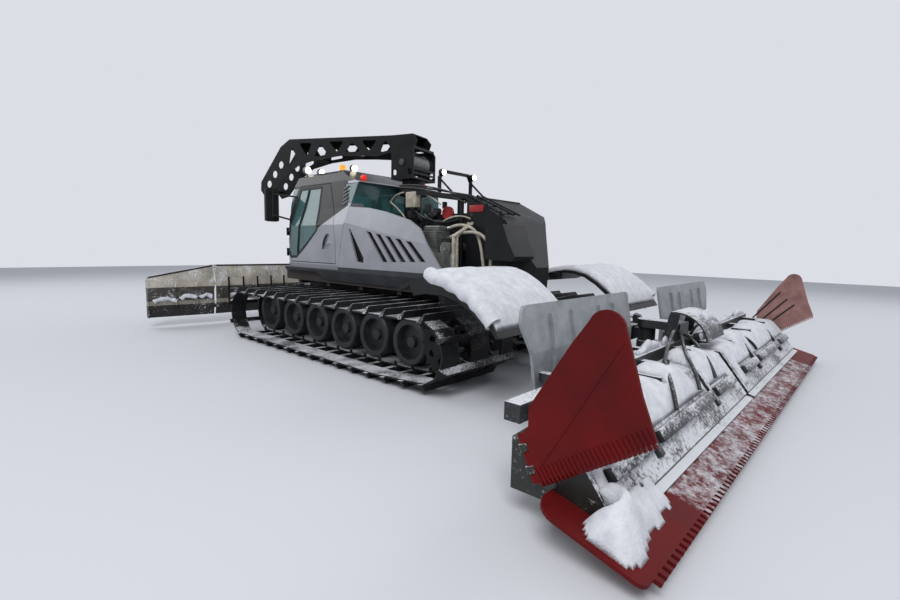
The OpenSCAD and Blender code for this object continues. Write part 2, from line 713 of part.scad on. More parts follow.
// Rear fenders over the ends of the tracks.
fender_top = [[deck_rear_y, 1188], [2060, 1255], [2230, 1310], [2400, 1338], [2560, 1335],
    [2740, 1290], [2920, 1190], [3080, 1070], [3210, 930], [3300, 800]];
fender_t = 38;
fender_pts = concat(fender_top, [[3262, 790], [3170, 905], [3050, 1035], [2895, 1155], [2725, 1250],
    [2555, 1296], [2402, 1299], [2240, 1270], [2070, 1214], [deck_rear_y, 1145]]);
fender_out_x = 2080;
module fenders() color("#232426") placed() both_sides() {
    prism_x(fender_pts, 700, fender_out_x);
    prism_x([[2060, 1250], [2230, 1305], [2400, 1333], [2560, 1330], [2740, 1285], [2920, 1185],
        [3080, 1065], [3200, 930], [3110, 890], [2960, 1010], [2780, 1100], [2560, 1150], [2350, 1150],
        [2150, 1110]], fender_out_x - 24, fender_out_x + 6);
    box([cover_half_w, 2200, 1200], [780, 2330, 1300]);
}

// Winch: post, slewing tower, rope drum and boom. Local y is forwards along the boom.
module on_winch() placed() translate([0, winch_y, 0]) rotate([0, 0, 180 + winch_rest]) children();

module winch_post() color("#1a1b1d") placed() translate([0, winch_y, 0]) {
    translate([0, 0, deck_top_z]) cylinder(r = winch_post_r, h = winch_ring_z - deck_top_z, $fn = 48);
    translate([0, 0, winch_ring_z - 40]) cylinder(r = winch_post_r + 80, h = 40, $fn = 48);
    for (i = [0:3]) rotate(45 + i * 90) prism_y([[winch_post_r - 10, deck_top_z],
        [winch_post_r + 130, deck_top_z], [winch_post_r + 10, 1700], [winch_post_r - 10, 1700]], -12, 12);
}

tower_low_z = winch_ring_z + 200;
tower_depth = 220;
drum_z = 2990;
module winch_tower() color("#1b1c1e") on_winch() {
    translate([0, 0, winch_ring_z + seat_gap])
        cylinder(r = winch_post_r + 80, h = 120 - seat_gap, $fn = 48);
    translate([0, 0, winch_ring_z + 120]) cylinder(r = winch_post_r + 40, h = 80, $fn = 48);
    box([-tower_half_w, -tower_depth, tower_low_z], [tower_half_w, tower_depth, tower_low_z + 30]);
    for (x = [-1, 1]) translate([x * (tower_half_w - 12), 0, 0]) difference() {
        prism_x([[-tower_depth, tower_low_z + 30], [tower_depth, tower_low_z + 30],
            [tower_depth, 3160], [150, 3240], [-170, 3240], [-tower_depth, 3160]], -12, 12);
        rod_x(-20, 20, 0, drum_z, 52);
        for (y = [-150, 150]) prism_x(rounded([[y - 38, 2790], [y + 38, 2790], [y + 38, 2880],
            [y - 38, 2880]], 24), -20, 20);
    }
    for (y = [[-200, -110], [110, 150]])
        box([-tower_half_w + 24, y[0], 3200], [tower_half_w - 24, y[1], 3240]);
    for (z = [2800, 2870]) box([-tower_half_w + 24, -tower_depth, z], [tower_half_w - 24, -200, z + 30]);
}

module winch_drum() color("#2b2c2e") on_winch() {
    half = tower_half_w - 30;
    rod_x(-half, half, 0, drum_z, drum_r - 60);
    for (x = [-half, half - 16]) rod_x(x, x + 16, 0, drum_z, drum_r);
    rod_x(-tower_half_w - 20, tower_half_w + 20, 0, drum_z, 52 - pin_gap);
}

boom_side = [[-170, 3240], [150, 3240], [300, 3190], [600, 3145], [950, 3180], [1450, 3215], [2050, 3190],
    [2550, 3110], [2910, 2920], [3270, 2600], [3470, 2560], [3600, 2690], [3590, 2860], [3000, 3500],
    [2750, 3620], [300, 3460], [-120, 3450], [-210, 3340]];
boom_top = [[-120, 3450], [300, 3460], [2750, 3620], [3000, 3500]];
boom_windows = [[[300, 3230], [560, 3205], [450, 3405]], [[620, 3420], [960, 3440], [790, 3240]],
    [[980, 3255], [1340, 3270], [1180, 3435]], [[1370, 3465], [1730, 3490], [1530, 3280]],
    [[1750, 3265], [2100, 3245], [1950, 3465]], [[2150, 3505], [2490, 3525], [2290, 3265]],
    [[2510, 3225], [2790, 3115], [2710, 3475]]];
sheave_at = [3480, 2690];
module winch_boom() color("#17181a") on_winch() {
    for (x = [-1, 1]) translate([x * (boom_half_w - boom_plate / 2), 0, 0]) difference() {
        prism_x(boom_side, -boom_plate / 2, boom_plate / 2);
        for (w = boom_windows) prism_x(rounded(w, 60), -boom_plate, boom_plate);
        for (p = [[3000, 3160], [3180, 2990], [3350, 2810]]) rod_x(-20, 20, p[0], p[1], 70);
    }
    prism_x(concat([for (p = boom_top) p - [0, boom_plate]], [for (i = [3:-1:0]) boom_top[i]]),
        -boom_half_w + boom_plate, boom_half_w - boom_plate);
    for (p = [[400, 3175], [1250, 3205], [2100, 3180]])
        rod_x(-boom_half_w + 4, boom_half_w - 4, p[0], p[1] + 22, 22);
    rod_x(-boom_half_w + 4, boom_half_w - 4, sheave_at[0], sheave_at[1], 34);
    rod_x(-30, 30, sheave_at[0], sheave_at[1], 105);
}

// A lift cylinder from pin a to pin b, both [y, z], at x. The rod's eye is wide round its pin.
lift_neck = 58;
lift_bore_floor = 90;
lift_rod_foot = 260;
lift_barrel_len = 640;
lift_barrel_r = 46;
lift_rod_r = 24;
eye_play = 10;
module along(x, a, b) translate([x, a[0], a[1]])
    rotate([atan2(b[1] - a[1], b[0] - a[0]) - 90, 0, 0]) children();

module lift_barrel(x, a, b) along(x, a, b) difference() {
    union() {
        rod_x(-lift_eye_w / 2, lift_eye_w / 2, 0, 0, 40);
        box([-lift_eye_w / 2, -30, 0], [lift_eye_w / 2, 30, lift_neck + 4]);
        translate([0, 0, lift_neck])
            cylinder(r = lift_barrel_r, h = lift_barrel_len - lift_neck, $fn = 40);
    }
    rod_x(-lift_eye_w, lift_eye_w, 0, 0, lift_pin_r + pin_gap);
    translate([0, 0, lift_bore_floor])
        cylinder(r = lift_rod_r + pin_gap, h = lift_barrel_len, $fn = 40);
}

module lift_rod(x, a, b) along(x, a, b) {
    len = norm(b - a);
    translate([0, 0, lift_rod_foot]) cylinder(r = lift_rod_r, h = len - lift_rod_foot - 40, $fn = 40);
    translate([0, 0, len]) difference() {
        rod_x(-lift_eye_w / 2, lift_eye_w / 2, 0, 0, 52);
        rod_x(-lift_eye_w, lift_eye_w, 0, 0, lift_pin_r + eye_play);
    }
}

// Lugs and pin on top of a frame's cross box, for a rod's eye.
module eye_lugs(x, pin, foot) for (side = [-1, 1])
    translate([x + side * (lift_eye_w / 2 + 4 + lug_t / 2) - lug_t / 2, 0, 0]) {
        rod_x(0, lug_t, pin[0], pin[1], 36);
        prism_x([[foot[0], foot[2]], [foot[1], foot[2]], [pin[0] + 34, pin[1]], [pin[0] - 34, pin[1]]],
            0, lug_t);
        rod_x(side > 0 ? -lift_eye_w / 2 - 5 : lug_t - 1, side > 0 ? 1 : lug_t + lift_eye_w / 2 + 5,
            pin[0], pin[1], lift_pin_r);
    }

// Front blade. The push frame is pinned to the tub; the carrier turns on it, and the blade
// rocks on the carrier.
ball_y = blade_plate_y + 330;
ball_z = 560;
boss_h = 160;
boss_low = ball_z - boss_h / 2;
boss_high = ball_z + boss_h / 2;
yoke_r = 40;
yoke_t = 90;
push_box = [ball_y + 130, ball_y + 250];
push_eye = [ball_y + 200, boss_high + 80];
module blade_frame() color("#1e1f21") placed() {
    both_sides() {
        difference() {
            union() {
                rod_x(arm_x - arm_plate / 2, arm_x + arm_plate / 2, push_pin[0], push_pin[1], 62);
                prism_x([[push_box[0], boss_low], [push_pin[0], push_pin[1] - 62],
                    [push_pin[0], push_pin[1] + 62], [push_box[0], boss_high]],
                    arm_x - arm_plate / 2, arm_x + arm_plate / 2);
            }
            rod_x(0, 600, push_pin[0], push_pin[1], arm_pin_r + pin_gap);
        }
        eye_lugs(lift_x, push_eye, [push_box[0], push_box[1], boss_high - 1]);
    }
    box([-arm_x - arm_plate / 2, push_box[0], boss_low], [arm_x + arm_plate / 2, push_box[1], boss_high]);
    difference() {
        union() {
            translate([0, ball_y, boss_low]) cylinder(r = 90, h = boss_h, $fn = 40);
            box([-80, ball_y, boss_low + 20], [80, push_box[0] + 10, boss_high - 20]);
        }
        translate([0, ball_y, boss_low - 1]) cylinder(r = yoke_r + pin_gap, h = boss_h + 2, $fn = 40);
    }
}

rock_r = 60;
module blade_carrier() color("#2a2b2d") placed() {
    translate([0, ball_y, boss_low - 1]) cylinder(r = yoke_r, h = boss_h + 2, $fn = 40);
    for (z = [boss_low - seat_gap - yoke_t, boss_high + seat_gap]) {
        translate([0, ball_y, z]) cylinder(r = 110, h = yoke_t, $fn = 40);
        box([-110, ball_y - 120, z], [110, ball_y, z + yoke_t]);
    }
    box([-110, ball_y - 200, boss_low - yoke_t], [110, ball_y - 110, boss_high + yoke_t]);
    rod_y(ball_y - 290, ball_y - 200, 0, ball_z, rock_r);
}

// The blade's section: an arc hollow to the front, with a cutting edge at its foot.
blade_bulge = 70;
blade_arc_r = (blade_h * blade_h / 4 + blade_bulge * blade_bulge) / (2 * blade_bulge);
blade_half_angle = asin(blade_h / 2 / blade_arc_r);
function blade_section(h, t) = let(c = [blade_plate_y - blade_arc_r, blade_low_z + blade_h / 2],
    top = asin((h - blade_h / 2) / blade_arc_r))
    concat(arc(c, blade_arc_r, -blade_half_angle, top, 10),
        arc(c, blade_arc_r - t, top, -blade_half_angle, 10));

module blade() color("#8d8674") placed() {
    prism_x(blade_section(blade_h, blade_t), -blade_half_w, blade_half_w);
    for (i = [-5:5]) if (i != 0) prism_x([[blade_plate_y - 30, blade_low_z + 120],
        [blade_plate_y + 60, blade_low_z + 240], [blade_plate_y + 60, blade_low_z + blade_h - 240],
        [blade_plate_y - 30, blade_low_z + blade_h - 100]], i * 300 - 10, i * 300 + 10);
    difference() {
        box([-260, blade_plate_y - 10, ball_z - 100], [260, ball_y - 206, ball_z + 100]);
        rod_y(ball_y - 292, ball_y, 0, ball_z, rock_r + pin_gap);
    }
    both_sides() wing_knuckle(blade_low_z + 130, -1);
    both_sides() wing_knuckle(blade_low_z + 590, -1);
}

// Knuckles of a wing's hinge, which stands in front of the blade's edge. side is -1 on the blade.
wing_pin = [blade_half_w + wing_gap, wing_pin_y];
knuckle_h = 70;
knuckle_r = 20;
module wing_knuckle(z, side) {
    translate([wing_pin[0], wing_pin[1], z]) cylinder(r = knuckle_r, h = knuckle_h, $fn = 32);
    x = [wing_pin[0] + side * 70, wing_pin[0] + side * 4];
    box([min(x), wing_pin[1] - knuckle_r, z], [max(x), blade_plate_y - 22, z + knuckle_h]);
}

wing_tip_h = 0.78;
module blade_wing() translate([wing_pin[0], wing_pin[1], 0]) rotate([0, 0, -wing_rest])
    translate([-wing_pin[0], -wing_pin[1], 0]) {
        x0 = wing_pin[0] + wing_gap;
        x1 = wing_pin[0] + wing_gap + wing_w;
        tip_z = blade_low_z + blade_h * wing_tip_h;
        intersection() {
            prism_x(blade_section(blade_h, blade_t), x0, x1);
            prism_y([[x0, 0], [x1, 0], [x1, tip_z], [x0, blade_low_z + blade_h]], -5000, 0);
        }
        box([x1 - 20, wing_pin_y - end_plate_reach, blade_low_z], [x1, blade_plate_y + 10, tip_z - 60]);
        for (x = [x0 + 330, x0 + 690]) prism_x([[blade_plate_y - 30, blade_low_z + 120],
            [blade_plate_y + 60, blade_low_z + 240], [blade_plate_y + 60, tip_z - 200],
            [blade_plate_y - 30, tip_z - 100]], x - 10, x + 10);
        wing_knuckle(blade_low_z + 130 + knuckle_h + seat_gap, 1);
        wing_knuckle(blade_low_z + 590 - knuckle_h - seat_gap, 1);
    }
module blade_wing_left() color("#8d8674") placed() blade_wing();
module blade_wing_right() color("#8d8674") placed() mirror([1, 0, 0]) blade_wing();

module blade_cylinders() color("#222325") placed() both_sides()
    lift_barrel(lift_x, push_lift_pin, push_eye);
module blade_rods() color("#b9bcbf") placed() both_sides()
    lift_rod(lift_x, push_lift_pin, push_eye);

// Tiller: lift arm, frame, hoods, rotors, finisher and side finishers.
hitch_y = 3900;
hitch_z = 690;
hitch_low = hitch_z - boss_h / 2;
hitch_high = hitch_z + boss_h / 2;
arm_box = [hitch_y - 230, hitch_y - 130];
arm_eye = [hitch_y - 200, hitch_high + 70];
module tiller_arm() color("#1d1e20") placed() {
    both_sides() {
        difference() {
            union() {
                rod_x(arm_x - arm_plate / 2, arm_x + arm_plate / 2, arm_pin[0], arm_pin[1], 62);
                prism_x([[arm_pin[0], arm_pin[1] - 62], [arm_box[1], hitch_low], [arm_box[1], hitch_high],
                    [arm_pin[0], arm_pin[1] + 62]], arm_x - arm_plate / 2, arm_x + arm_plate / 2);
            }
            rod_x(0, 600, arm_pin[0], arm_pin[1], arm_pin_r + pin_gap);
        }
        eye_lugs(lift_x, arm_eye, [arm_box[0], arm_box[1], hitch_high - 1]);
    }
    box([-arm_x - arm_plate / 2, arm_box[0], hitch_low], [arm_x + arm_plate / 2, arm_box[1], hitch_high]);
    difference() {
        union() {
            translate([0, hitch_y, hitch_low]) cylinder(r = 90, h = boss_h, $fn = 40);
            box([-80, arm_box[1] - 10, hitch_low + 20], [80, hitch_y, hitch_high - 20]);
        }
        translate([0, hitch_y, hitch_low - 1]) cylinder(r = yoke_r + pin_gap, h = boss_h + 2, $fn = 40);
    }
}

frame_y = 4180;
frame_w = 120;
frame_low = 560;
frame_high = 680;
plate_back_y = hitch_y;
shield_r = 330;
shield_at = [frame_y + 120, hitch_high - 90];
module tiller_frame() color("#26272a") placed() {
    translate([0, hitch_y, hitch_low - 1]) cylinder(r = yoke_r, h = boss_h + 2, $fn = 40);
    for (z = [hitch_low - seat_gap - yoke_t, hitch_high + seat_gap]) {
        translate([0, hitch_y, z]) cylinder(r = 110, h = yoke_t, $fn = 40);
        box([-110, hitch_y, z], [110, frame_y + 10, z + yoke_t]);
    }
    box([-tiller_half_w + 60, frame_y, frame_low], [tiller_half_w - 60, frame_y + frame_w, frame_high]);
    box([-150, frame_y, hitch_low - yoke_t], [150, frame_y + frame_w, hitch_high + yoke_t]);
    prism_x(concat(arc([shield_at[0], shield_at[1]], shield_r, 100, 10, 8),
        arc([shield_at[0], shield_at[1]], shield_r - 16, 10, 100, 8)), -320, 320);
    for (x = [-320, 304]) prism_x([[frame_y, hitch_high - 40], [frame_y + frame_w, hitch_high - 40],
        [shield_at[0] + 40, shield_at[1] + shield_r - 20],
        [shield_at[0] - 60, shield_at[1] + shield_r - 20]], x, x + 16);
    box([-320, frame_y, hitch_high - 40], [320, frame_y + 16, hitch_high + 10]);
    both_sides() for (x = [700, 1500, 2300])
        box([x - 40, plate_back_y, frame_low + 30], [x + 40, frame_y + 10, frame_high - 30]);
}

// The hood's outline round the rotor, and its flat top and rear slope.
hood_r = rotor_r + hood_gap;
hood_front_y = rotor_y - hood_r - 34;
hood_top_z = rotor_z + hood_r + 54;
hood_bend_y = rotor_y + 100;
hood_low_z = rotor_z - 130;
hood_foot_z = rotor_z - 85;
hood_outer = [[hood_front_y, hood_low_z], [finisher_front_y, hood_low_z + 12],
    [finisher_front_y, hood_foot_z], [hood_bend_y, hood_top_z], [hood_front_y + 110, hood_top_z],
    [hood_front_y, hood_top_z - 90]];
hood_x0 = 40;
shaft_r = 50;
hood_beds = [300, 1200, 2100, 3000];
rear_fall = atan2(hood_top_z - hood_foot_z, finisher_front_y - hood_bend_y);
module on_rear_slope() translate([0, hood_bend_y, hood_top_z]) rotate([-rear_fall, 0, 0]) children();

module hood_half() {
    difference() {
        prism_x(hood_outer, hood_x0, tiller_half_w);
        prism_x(inset(hood_outer, hood_t), hood_x0 + hood_t, tiller_half_w - hood_t);
        box([hood_x0 + hood_t, hood_front_y + hood_t, hood_low_z - 40],
            [tiller_half_w - hood_t, finisher_front_y - hood_t, hood_foot_z - 15]);
        rod_x(hood_x0 - 10, tiller_half_w + 10, rotor_y, rotor_z, shaft_r);
    }
    for (x = hood_beds) box([x - 40, frame_y + frame_w, hood_top_z - 8],
        [x + 40, hood_front_y + 170, frame_high - 40]);
    on_finisher() box([hood_x0 + 4, -20, finisher_t], [tiller_half_w - 4, 50, finisher_t + 20]);
    on_rear_slope() {
        for (x = [[260, 900], [1050, 2350], [2500, 3120]]) box([x[0], 235, -4], [x[1], 315, 62]);
        for (x = [960, 2420]) box([x - 30, 60, -4], [x + 30, 380, 34]);
    }
    for (x = [620, 1700, 2700])
        box([x - 16, hood_front_y + 120, hood_top_z - 4], [x + 16, hood_bend_y - 20, hood_top_z + 46]);
}

// Hinge of a side finisher: its axis falls steeply to the rear, past the hood's end.
side_hinge_x = tiller_half_w + 40;
side_slope = 66;
side_hinge_at = [frame_y + 190, frame_low - 10];
side_rod_r = 16;
side_lug_v = [60, 190];
side_lug_w = 44;
module on_side_hinge() translate([side_hinge_x, side_hinge_at[0], side_hinge_at[1]])
    rotate([-side_slope, 0, 0]) children();

module tiller_hoods() color("#3b3d3b") placed() both_sides() {
    hood_half();
    on_side_hinge() for (v = side_lug_v) difference() {
        union() {
            rod_y(v, v + side_lug_w, 0, 0, side_rod_r + 12);
            box([-side_hinge_x + tiller_half_w - 7, v, -20], [0, v + side_lug_w, 20]);
        }
        rod_y(v - 1, v + side_lug_w + 1, 0, 0, side_rod_r + pin_gap);
    }
}

finisher_high = [finisher_front_y, rotor_z - 150];
finisher_w = tiller_half_w + finisher_over;
finisher_end_len = 385;
finisher_half = concat([[0, 0], [tiller_half_w + 8, 0], [tiller_half_w + 8, -finisher_end_len]],
    arc([finisher_w - 140, -finisher_end_len + 140], 140, -90, 0, 6),
    arc([finisher_w - 50, finisher_len - 50], 50, 0, 90, 4), [[0, finisher_len]]);
module on_finisher() translate([0, finisher_high[0], finisher_high[1]])
    rotate([-finisher_slope, 0, 0]) children();
module comb(w) for (i = [0:floor(w / comb_pitch) - 1])
    translate([i * comb_pitch, 0, 0]) cube([comb_pitch * 0.55, comb_len + 1, finisher_t]);
module finisher() color("#8e1f22") placed() on_finisher() {
    both_sides() linear_extrude(finisher_t) polygon(finisher_half);
    translate([-finisher_w + 60, finisher_len - 1, 0]) comb(2 * finisher_w - 120);
}

rotor_end_gap = 8;
module rotor() {
    x0 = hood_x0 + hood_t + rotor_end_gap;
    x1 = tiller_half_w - hood_t - rotor_end_gap;
    rod_x(x0, x1, rotor_y, rotor_z, rotor_tube_r);
    rod_x(hood_x0 - 5, tiller_half_w + 5, rotor_y, rotor_z, shaft_r - pin_gap);
    step = 150;
    for (i = [0:floor((x1 - x0 - 80) / step)])
        translate([x0 + 40 + i * step, rotor_y, rotor_z]) rotate([i * 40, 0, 0])
            for (k = [0:2]) rotate([k * 120, 0, 0])
                translate([-8, -20, rotor_tube_r - 10]) cube([16, 40, rotor_r - rotor_tube_r + 10]);
}
module rotor_left() color("#3c3d3f") placed() rotor();
module rotor_right() color("#3c3d3f") placed() mirror([1, 0, 0]) rotor();

// Side finishers, folded up. In their own plane u runs outwards and v down the hinge.
side_fold = 90;
side_t = 20;
side_web = 34;
side_low = [side_web, 292];
side_tip = [786, 153];
side_top = [738, -428];
side_outline = concat([side_low, side_tip, [795, -62]], arc(side_top, 102, 15, -135, 10),
    [[523, -413], [128, -140], [82, -34], [side_web, 0]]);
comb_run = norm(side_tip - side_low);
comb_turn = atan2(side_tip[1] - side_low[1], side_tip[0] - side_low[0]);
side_comb_pitch = 29;
side_comb_start = 12;
module side_finisher() on_side_hinge() rotate([0, -side_fold, 0]) {
    translate([0, 0, -side_t / 2]) linear_extrude(side_t) {
        polygon(side_outline);
        translate(side_low) rotate(comb_turn) for (i = [0:floor(comb_run / side_comb_pitch) - 1])
            translate([i * side_comb_pitch + side_comb_start, -1]) square([16, 27]);
    }
    for (i = [0:floor(comb_run / side_comb_pitch) - 1]) translate([side_low[0], side_low[1], 0])
        rotate(comb_turn) translate([i * side_comb_pitch + side_comb_start + 1, -78, -side_t / 2 - 6])
            cube([14, 96, 8]);
    rod([75, 205, -side_t / 2], [800, -340, -side_t / 2], 5);
    rod_y(0, side_low[1], 0, 0, side_rod_r);
    for (v = [[0, side_lug_v[0] - 2], [side_lug_v[0] + side_lug_w + 2, side_lug_v[1] - 2],
        [side_lug_v[1] + side_lug_w + 2, side_low[1]]])
        box([0, v[0], -side_t / 2], [side_web + 1, v[1], side_t / 2]);
}
module side_finisher_left() color("#9c2226") placed() side_finisher();
module side_finisher_right() color("#9c2226") placed() mirror([1, 0, 0]) side_finisher();

plate_t = 28;
plate_low_z = 420;
plate_bend_z = 820;
plate_top_z = 1200;
plate_front = rounded([[480, plate_low_z], [2360, plate_low_z], [2450, plate_bend_z], [2560, 1060],
    [2500, plate_top_z], [480, plate_top_z]], 55);
module deflector_plates() color("#8c9094") placed() both_sides() {
    intersection() {
        prism_x([[plate_back_y - plate_t, plate_low_z], [plate_back_y, plate_low_z],
            [plate_back_y, plate_bend_z], [plate_back_y - 70, plate_top_z],
            [plate_back_y - 98, plate_top_z - 5], [plate_back_y - plate_t, plate_bend_z - 5]], 400, 2700);
        prism_y(plate_front, plate_back_y - 200, plate_back_y + 10);
    }
    for (x = [900, 1220, 1760, 2120]) prism_x([[plate_back_y - 10, 560], [plate_back_y + 26, 560],
        [plate_back_y + 26, plate_bend_z], [plate_back_y - 26, 1110], [plate_back_y - 64, 1110],
        [plate_back_y - 10, plate_bend_z]], x - 13, x + 13);
}

module tiller_cylinders() color("#222325") placed() both_sides()
    lift_barrel(lift_x, arm_lift_pin, arm_eye);
module tiller_rods() color("#b9bcbf") placed() both_sides()
    lift_rod(lift_x, arm_lift_pin, arm_eye);

chassis_tub();
axle_beams();
track_left();
track_right();
wheels_left();
wheels_right();
sprockets();
deck();
deck_skirts();
cab_shell();
cab_roof();
windshield();
cab_rear_glass();
cab_interior();
door_left();
door_right();
door_glass_left();
door_glass_right();
mirrors();
roof_lights();
side_panel_left();
side_panel_right();
engine();
engine_dressing();
hoses();
bay_frame();
rear_cover();
light_arch();
fenders();
winch_post();
winch_tower();
winch_drum();
winch_boom();
blade_frame();
blade_carrier();
blade();
blade_wing_left();
blade_wing_right();
blade_cylinders();
blade_rods();
tiller_arm();
tiller_frame();
tiller_hoods();
finisher();
rotor_left();
rotor_right();
side_finisher_left();
side_finisher_right();
deflector_plates();
tiller_cylinders();
tiller_rods();
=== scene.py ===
import math
import random
import bmesh
import bpy
from mathutils import Matrix, Vector, noise


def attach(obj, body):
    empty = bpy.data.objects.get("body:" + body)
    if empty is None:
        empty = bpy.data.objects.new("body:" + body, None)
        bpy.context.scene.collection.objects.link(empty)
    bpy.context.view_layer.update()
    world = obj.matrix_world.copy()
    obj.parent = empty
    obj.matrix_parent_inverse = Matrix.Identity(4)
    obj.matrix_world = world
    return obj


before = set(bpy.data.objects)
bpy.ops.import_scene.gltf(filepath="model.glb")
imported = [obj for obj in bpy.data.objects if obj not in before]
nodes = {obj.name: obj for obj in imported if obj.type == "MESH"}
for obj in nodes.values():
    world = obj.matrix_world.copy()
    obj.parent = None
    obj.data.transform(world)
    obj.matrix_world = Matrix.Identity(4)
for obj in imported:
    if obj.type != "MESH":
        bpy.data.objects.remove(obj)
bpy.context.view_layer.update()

print("frame loaded:", len(nodes), "nodes")

# Small helpers


def deselectAll():
    if bpy.context.object and bpy.context.object.mode != "OBJECT":
        bpy.ops.object.mode_set(mode="OBJECT")
    bpy.ops.object.select_all(action="DESELECT")


def selectOnly(piece):
    deselectAll()
    piece.select_set(True)
    bpy.context.view_layer.objects.active = piece


def editWhole(piece):
    # opens the piece in edit mode with all of its mesh selected
    selectOnly(piece)
    bpy.ops.object.mode_set(mode="EDIT")
    bpy.ops.mesh.select_all(action="SELECT")


def newObject(name, data):
    thing = bpy.data.objects.new(name, data)
    bpy.context.scene.collection.objects.link(thing)
    return thing


def hexToLinear(code):
    channels = [int(code[i:i + 2], 16) / 255 for i in (1, 3, 5)]
    return tuple(c / 12.92 if c <= 0.04045 else ((c + 0.055) / 1.055) ** 2.4 for c in channels) + (1.0,)


def addNode(tree, kind, values=None, links=None, **settings):
    node = tree.nodes.new(kind)
    for key, value in settings.items():
        setattr(node, key, value)
    for key, value in (values or {}).items():
        node.inputs[key].default_value = value
    for key, source in (links or {}).items():
        tree.links.new(source, node.inputs[key])
    return node


def newMaterial(name):
    material = bpy.data.materials.new(name)
    material.use_nodes = True
    material.node_tree.nodes.clear()
    return material, material.node_tree


# Materials. Names that end in Mm are sizes of patterns in millimetres, and a band starts at a distance in
# metres along its direction. Frost and swept are added to what decides where snow clings.

usualPaint = dict(toneFrom=0.3, toneTo=0.7, grainMm=3, bump=0.3, metallic=0.0, ior=1.5, shine=0.5, coat=0.0,
                  coatRough=0.1, bands=[], bandEdge=0.002, frostUp=0.1, frostMm=14, frostSoft=0.2,
                  frostMost=0.9, frostFrom=0.8, driftMm=350, driftShare=0.45, sweptEdge=0.06, swept=-0.4,
                  snow="#dfe2e8", snowRough=0.85)


def makeMaterial(paint):
    spec = {**usualPaint, **paint}
    material, tree = newMaterial(spec["name"])
    coords = addNode(tree, "ShaderNodeTexCoord").outputs["Object"]
    # slow change of tone over the sheet
    tone = addNode(tree, "ShaderNodeTexNoise", {
        "Scale": 1000 / spec["toneMm"], "Detail": 4.0, "Roughness": 0.6}, {"Vector": coords}).outputs["Fac"]
    toneRamp = addNode(tree, "ShaderNodeValToRGB", links={"Fac": tone})
    for stop, edge, shade in zip(toneRamp.color_ramp.elements, ("toneFrom", "toneTo"), ("dark", "light")):
        stop.position = spec[edge]
        stop.color = hexToLinear(spec[shade])
    colour = toneRamp.outputs["Color"]
    grain = addNode(tree, "ShaderNodeTexNoise", {"Scale": 1000 / spec["grainMm"], "Detail": 2.0},
                    {"Vector": coords})
    rough = addNode(tree, "ShaderNodeMapRange", {"To Min": spec["rough"][0], "To Max": spec["rough"][1]},
                    {"Value": tone}).outputs["Result"]
    for band in spec["bands"]:
        # another colour past a line across the part: a second paint, or on the blade painted shade
        across = addNode(tree, "ShaderNodeVectorMath", {1: band["across"]}, {0: coords},
                         operation="DOT_PRODUCT").outputs["Value"]
        step = addNode(tree, "ShaderNodeMapRange", {
            "From Min": band["start"] - spec["bandEdge"], "From Max": band["start"] + spec["bandEdge"]},
            {"Value": across}, interpolation_type="SMOOTHSTEP").outputs["Result"]
        colour = addNode(tree, "ShaderNodeMix", {7: hexToLinear(band["colour"])}, {0: step, 6: colour},
                         data_type="RGBA").outputs[2]
    if "frost" in spec:
        # rime and blown snow: it lies on what faces up and clings in patches
        normal = addNode(tree, "ShaderNodeNewGeometry").outputs["Normal"]
        up = addNode(tree, "ShaderNodeSeparateXYZ", links={"Vector": normal}).outputs["Z"]
        patch = addNode(tree, "ShaderNodeTexNoise", {
            "Scale": 1000 / spec["frostMm"], "Detail": 8.0, "Roughness": 0.75}, {"Vector": coords})
        drift = addNode(tree, "ShaderNodeTexNoise", {"Scale": 1000 / spec["driftMm"], "Detail": 3.0},
                        {"Vector": coords})
        both = addNode(tree, "ShaderNodeMath", {1: spec["driftShare"]},
                       {0: drift.outputs["Fac"], 2: patch.outputs["Fac"]}, operation="MULTIPLY_ADD")
        lift = addNode(tree, "ShaderNodeMath", {1: spec["frostUp"], 2: spec["frost"]}, {0: up},
                       operation="MULTIPLY_ADD")
        total = addNode(tree, "ShaderNodeMath", links={0: both.outputs[0], 1: lift.outputs[0]},
                        operation="ADD").outputs[0]
        if "clearPast" in spec:
            # the mat is swept clean past this distance from the middle
            axes = addNode(tree, "ShaderNodeSeparateXYZ", links={"Vector": coords}).outputs
            side = addNode(tree, "ShaderNodeMath", links={0: axes["X"]}, operation="ABSOLUTE").outputs[0]
            past, edge = spec["clearPast"], spec["sweptEdge"]
            clear = addNode(tree, "ShaderNodeMapRange", {
                "From Min": past - edge, "From Max": past + edge, "To Min": 0.0, "To Max": spec["swept"]},
                {"Value": side}).outputs["Result"]
            total = addNode(tree, "ShaderNodeMath", links={0: total, 1: clear}, operation="ADD").outputs[0]
        mask = addNode(tree, "ShaderNodeMapRange", {
            "From Min": spec["frostFrom"], "From Max": spec["frostFrom"] + spec["frostSoft"],
            "To Max": spec["frostMost"]}, {"Value": total},
            interpolation_type="SMOOTHSTEP").outputs["Result"]
        colour = addNode(tree, "ShaderNodeMix", {7: hexToLinear(spec["snow"])}, {0: mask, 6: colour},
                         data_type="RGBA").outputs[2]
        rough = addNode(tree, "ShaderNodeMix", {3: spec["snowRough"]}, {0: mask, 2: rough},
                        data_type="FLOAT").outputs[0]
    bump = addNode(tree, "ShaderNodeBump", {"Strength": spec["bump"], "Distance": spec["grainMm"] / 1000},
                   {"Height": grain.outputs["Fac"]})
    shader = addNode(tree, "ShaderNodeBsdfPrincipled", {
        "Metallic": spec["metallic"], "IOR": spec["ior"], "Specular IOR Level": spec["shine"],
        "Coat Weight": spec["coat"], "Coat Roughness": spec["coatRough"]},
        {"Base Color": colour, "Roughness": rough, "Normal": bump.outputs["Normal"]})
    if "glow" in spec:
        shader.inputs["Emission Color"].default_value = hexToLinear(spec["light"])
        shader.inputs["Emission Strength"].default_value = spec["glow"]
    addNode(tree, "ShaderNodeOutputMaterial", links={"Surface": shader.outputs[0]})
    return material


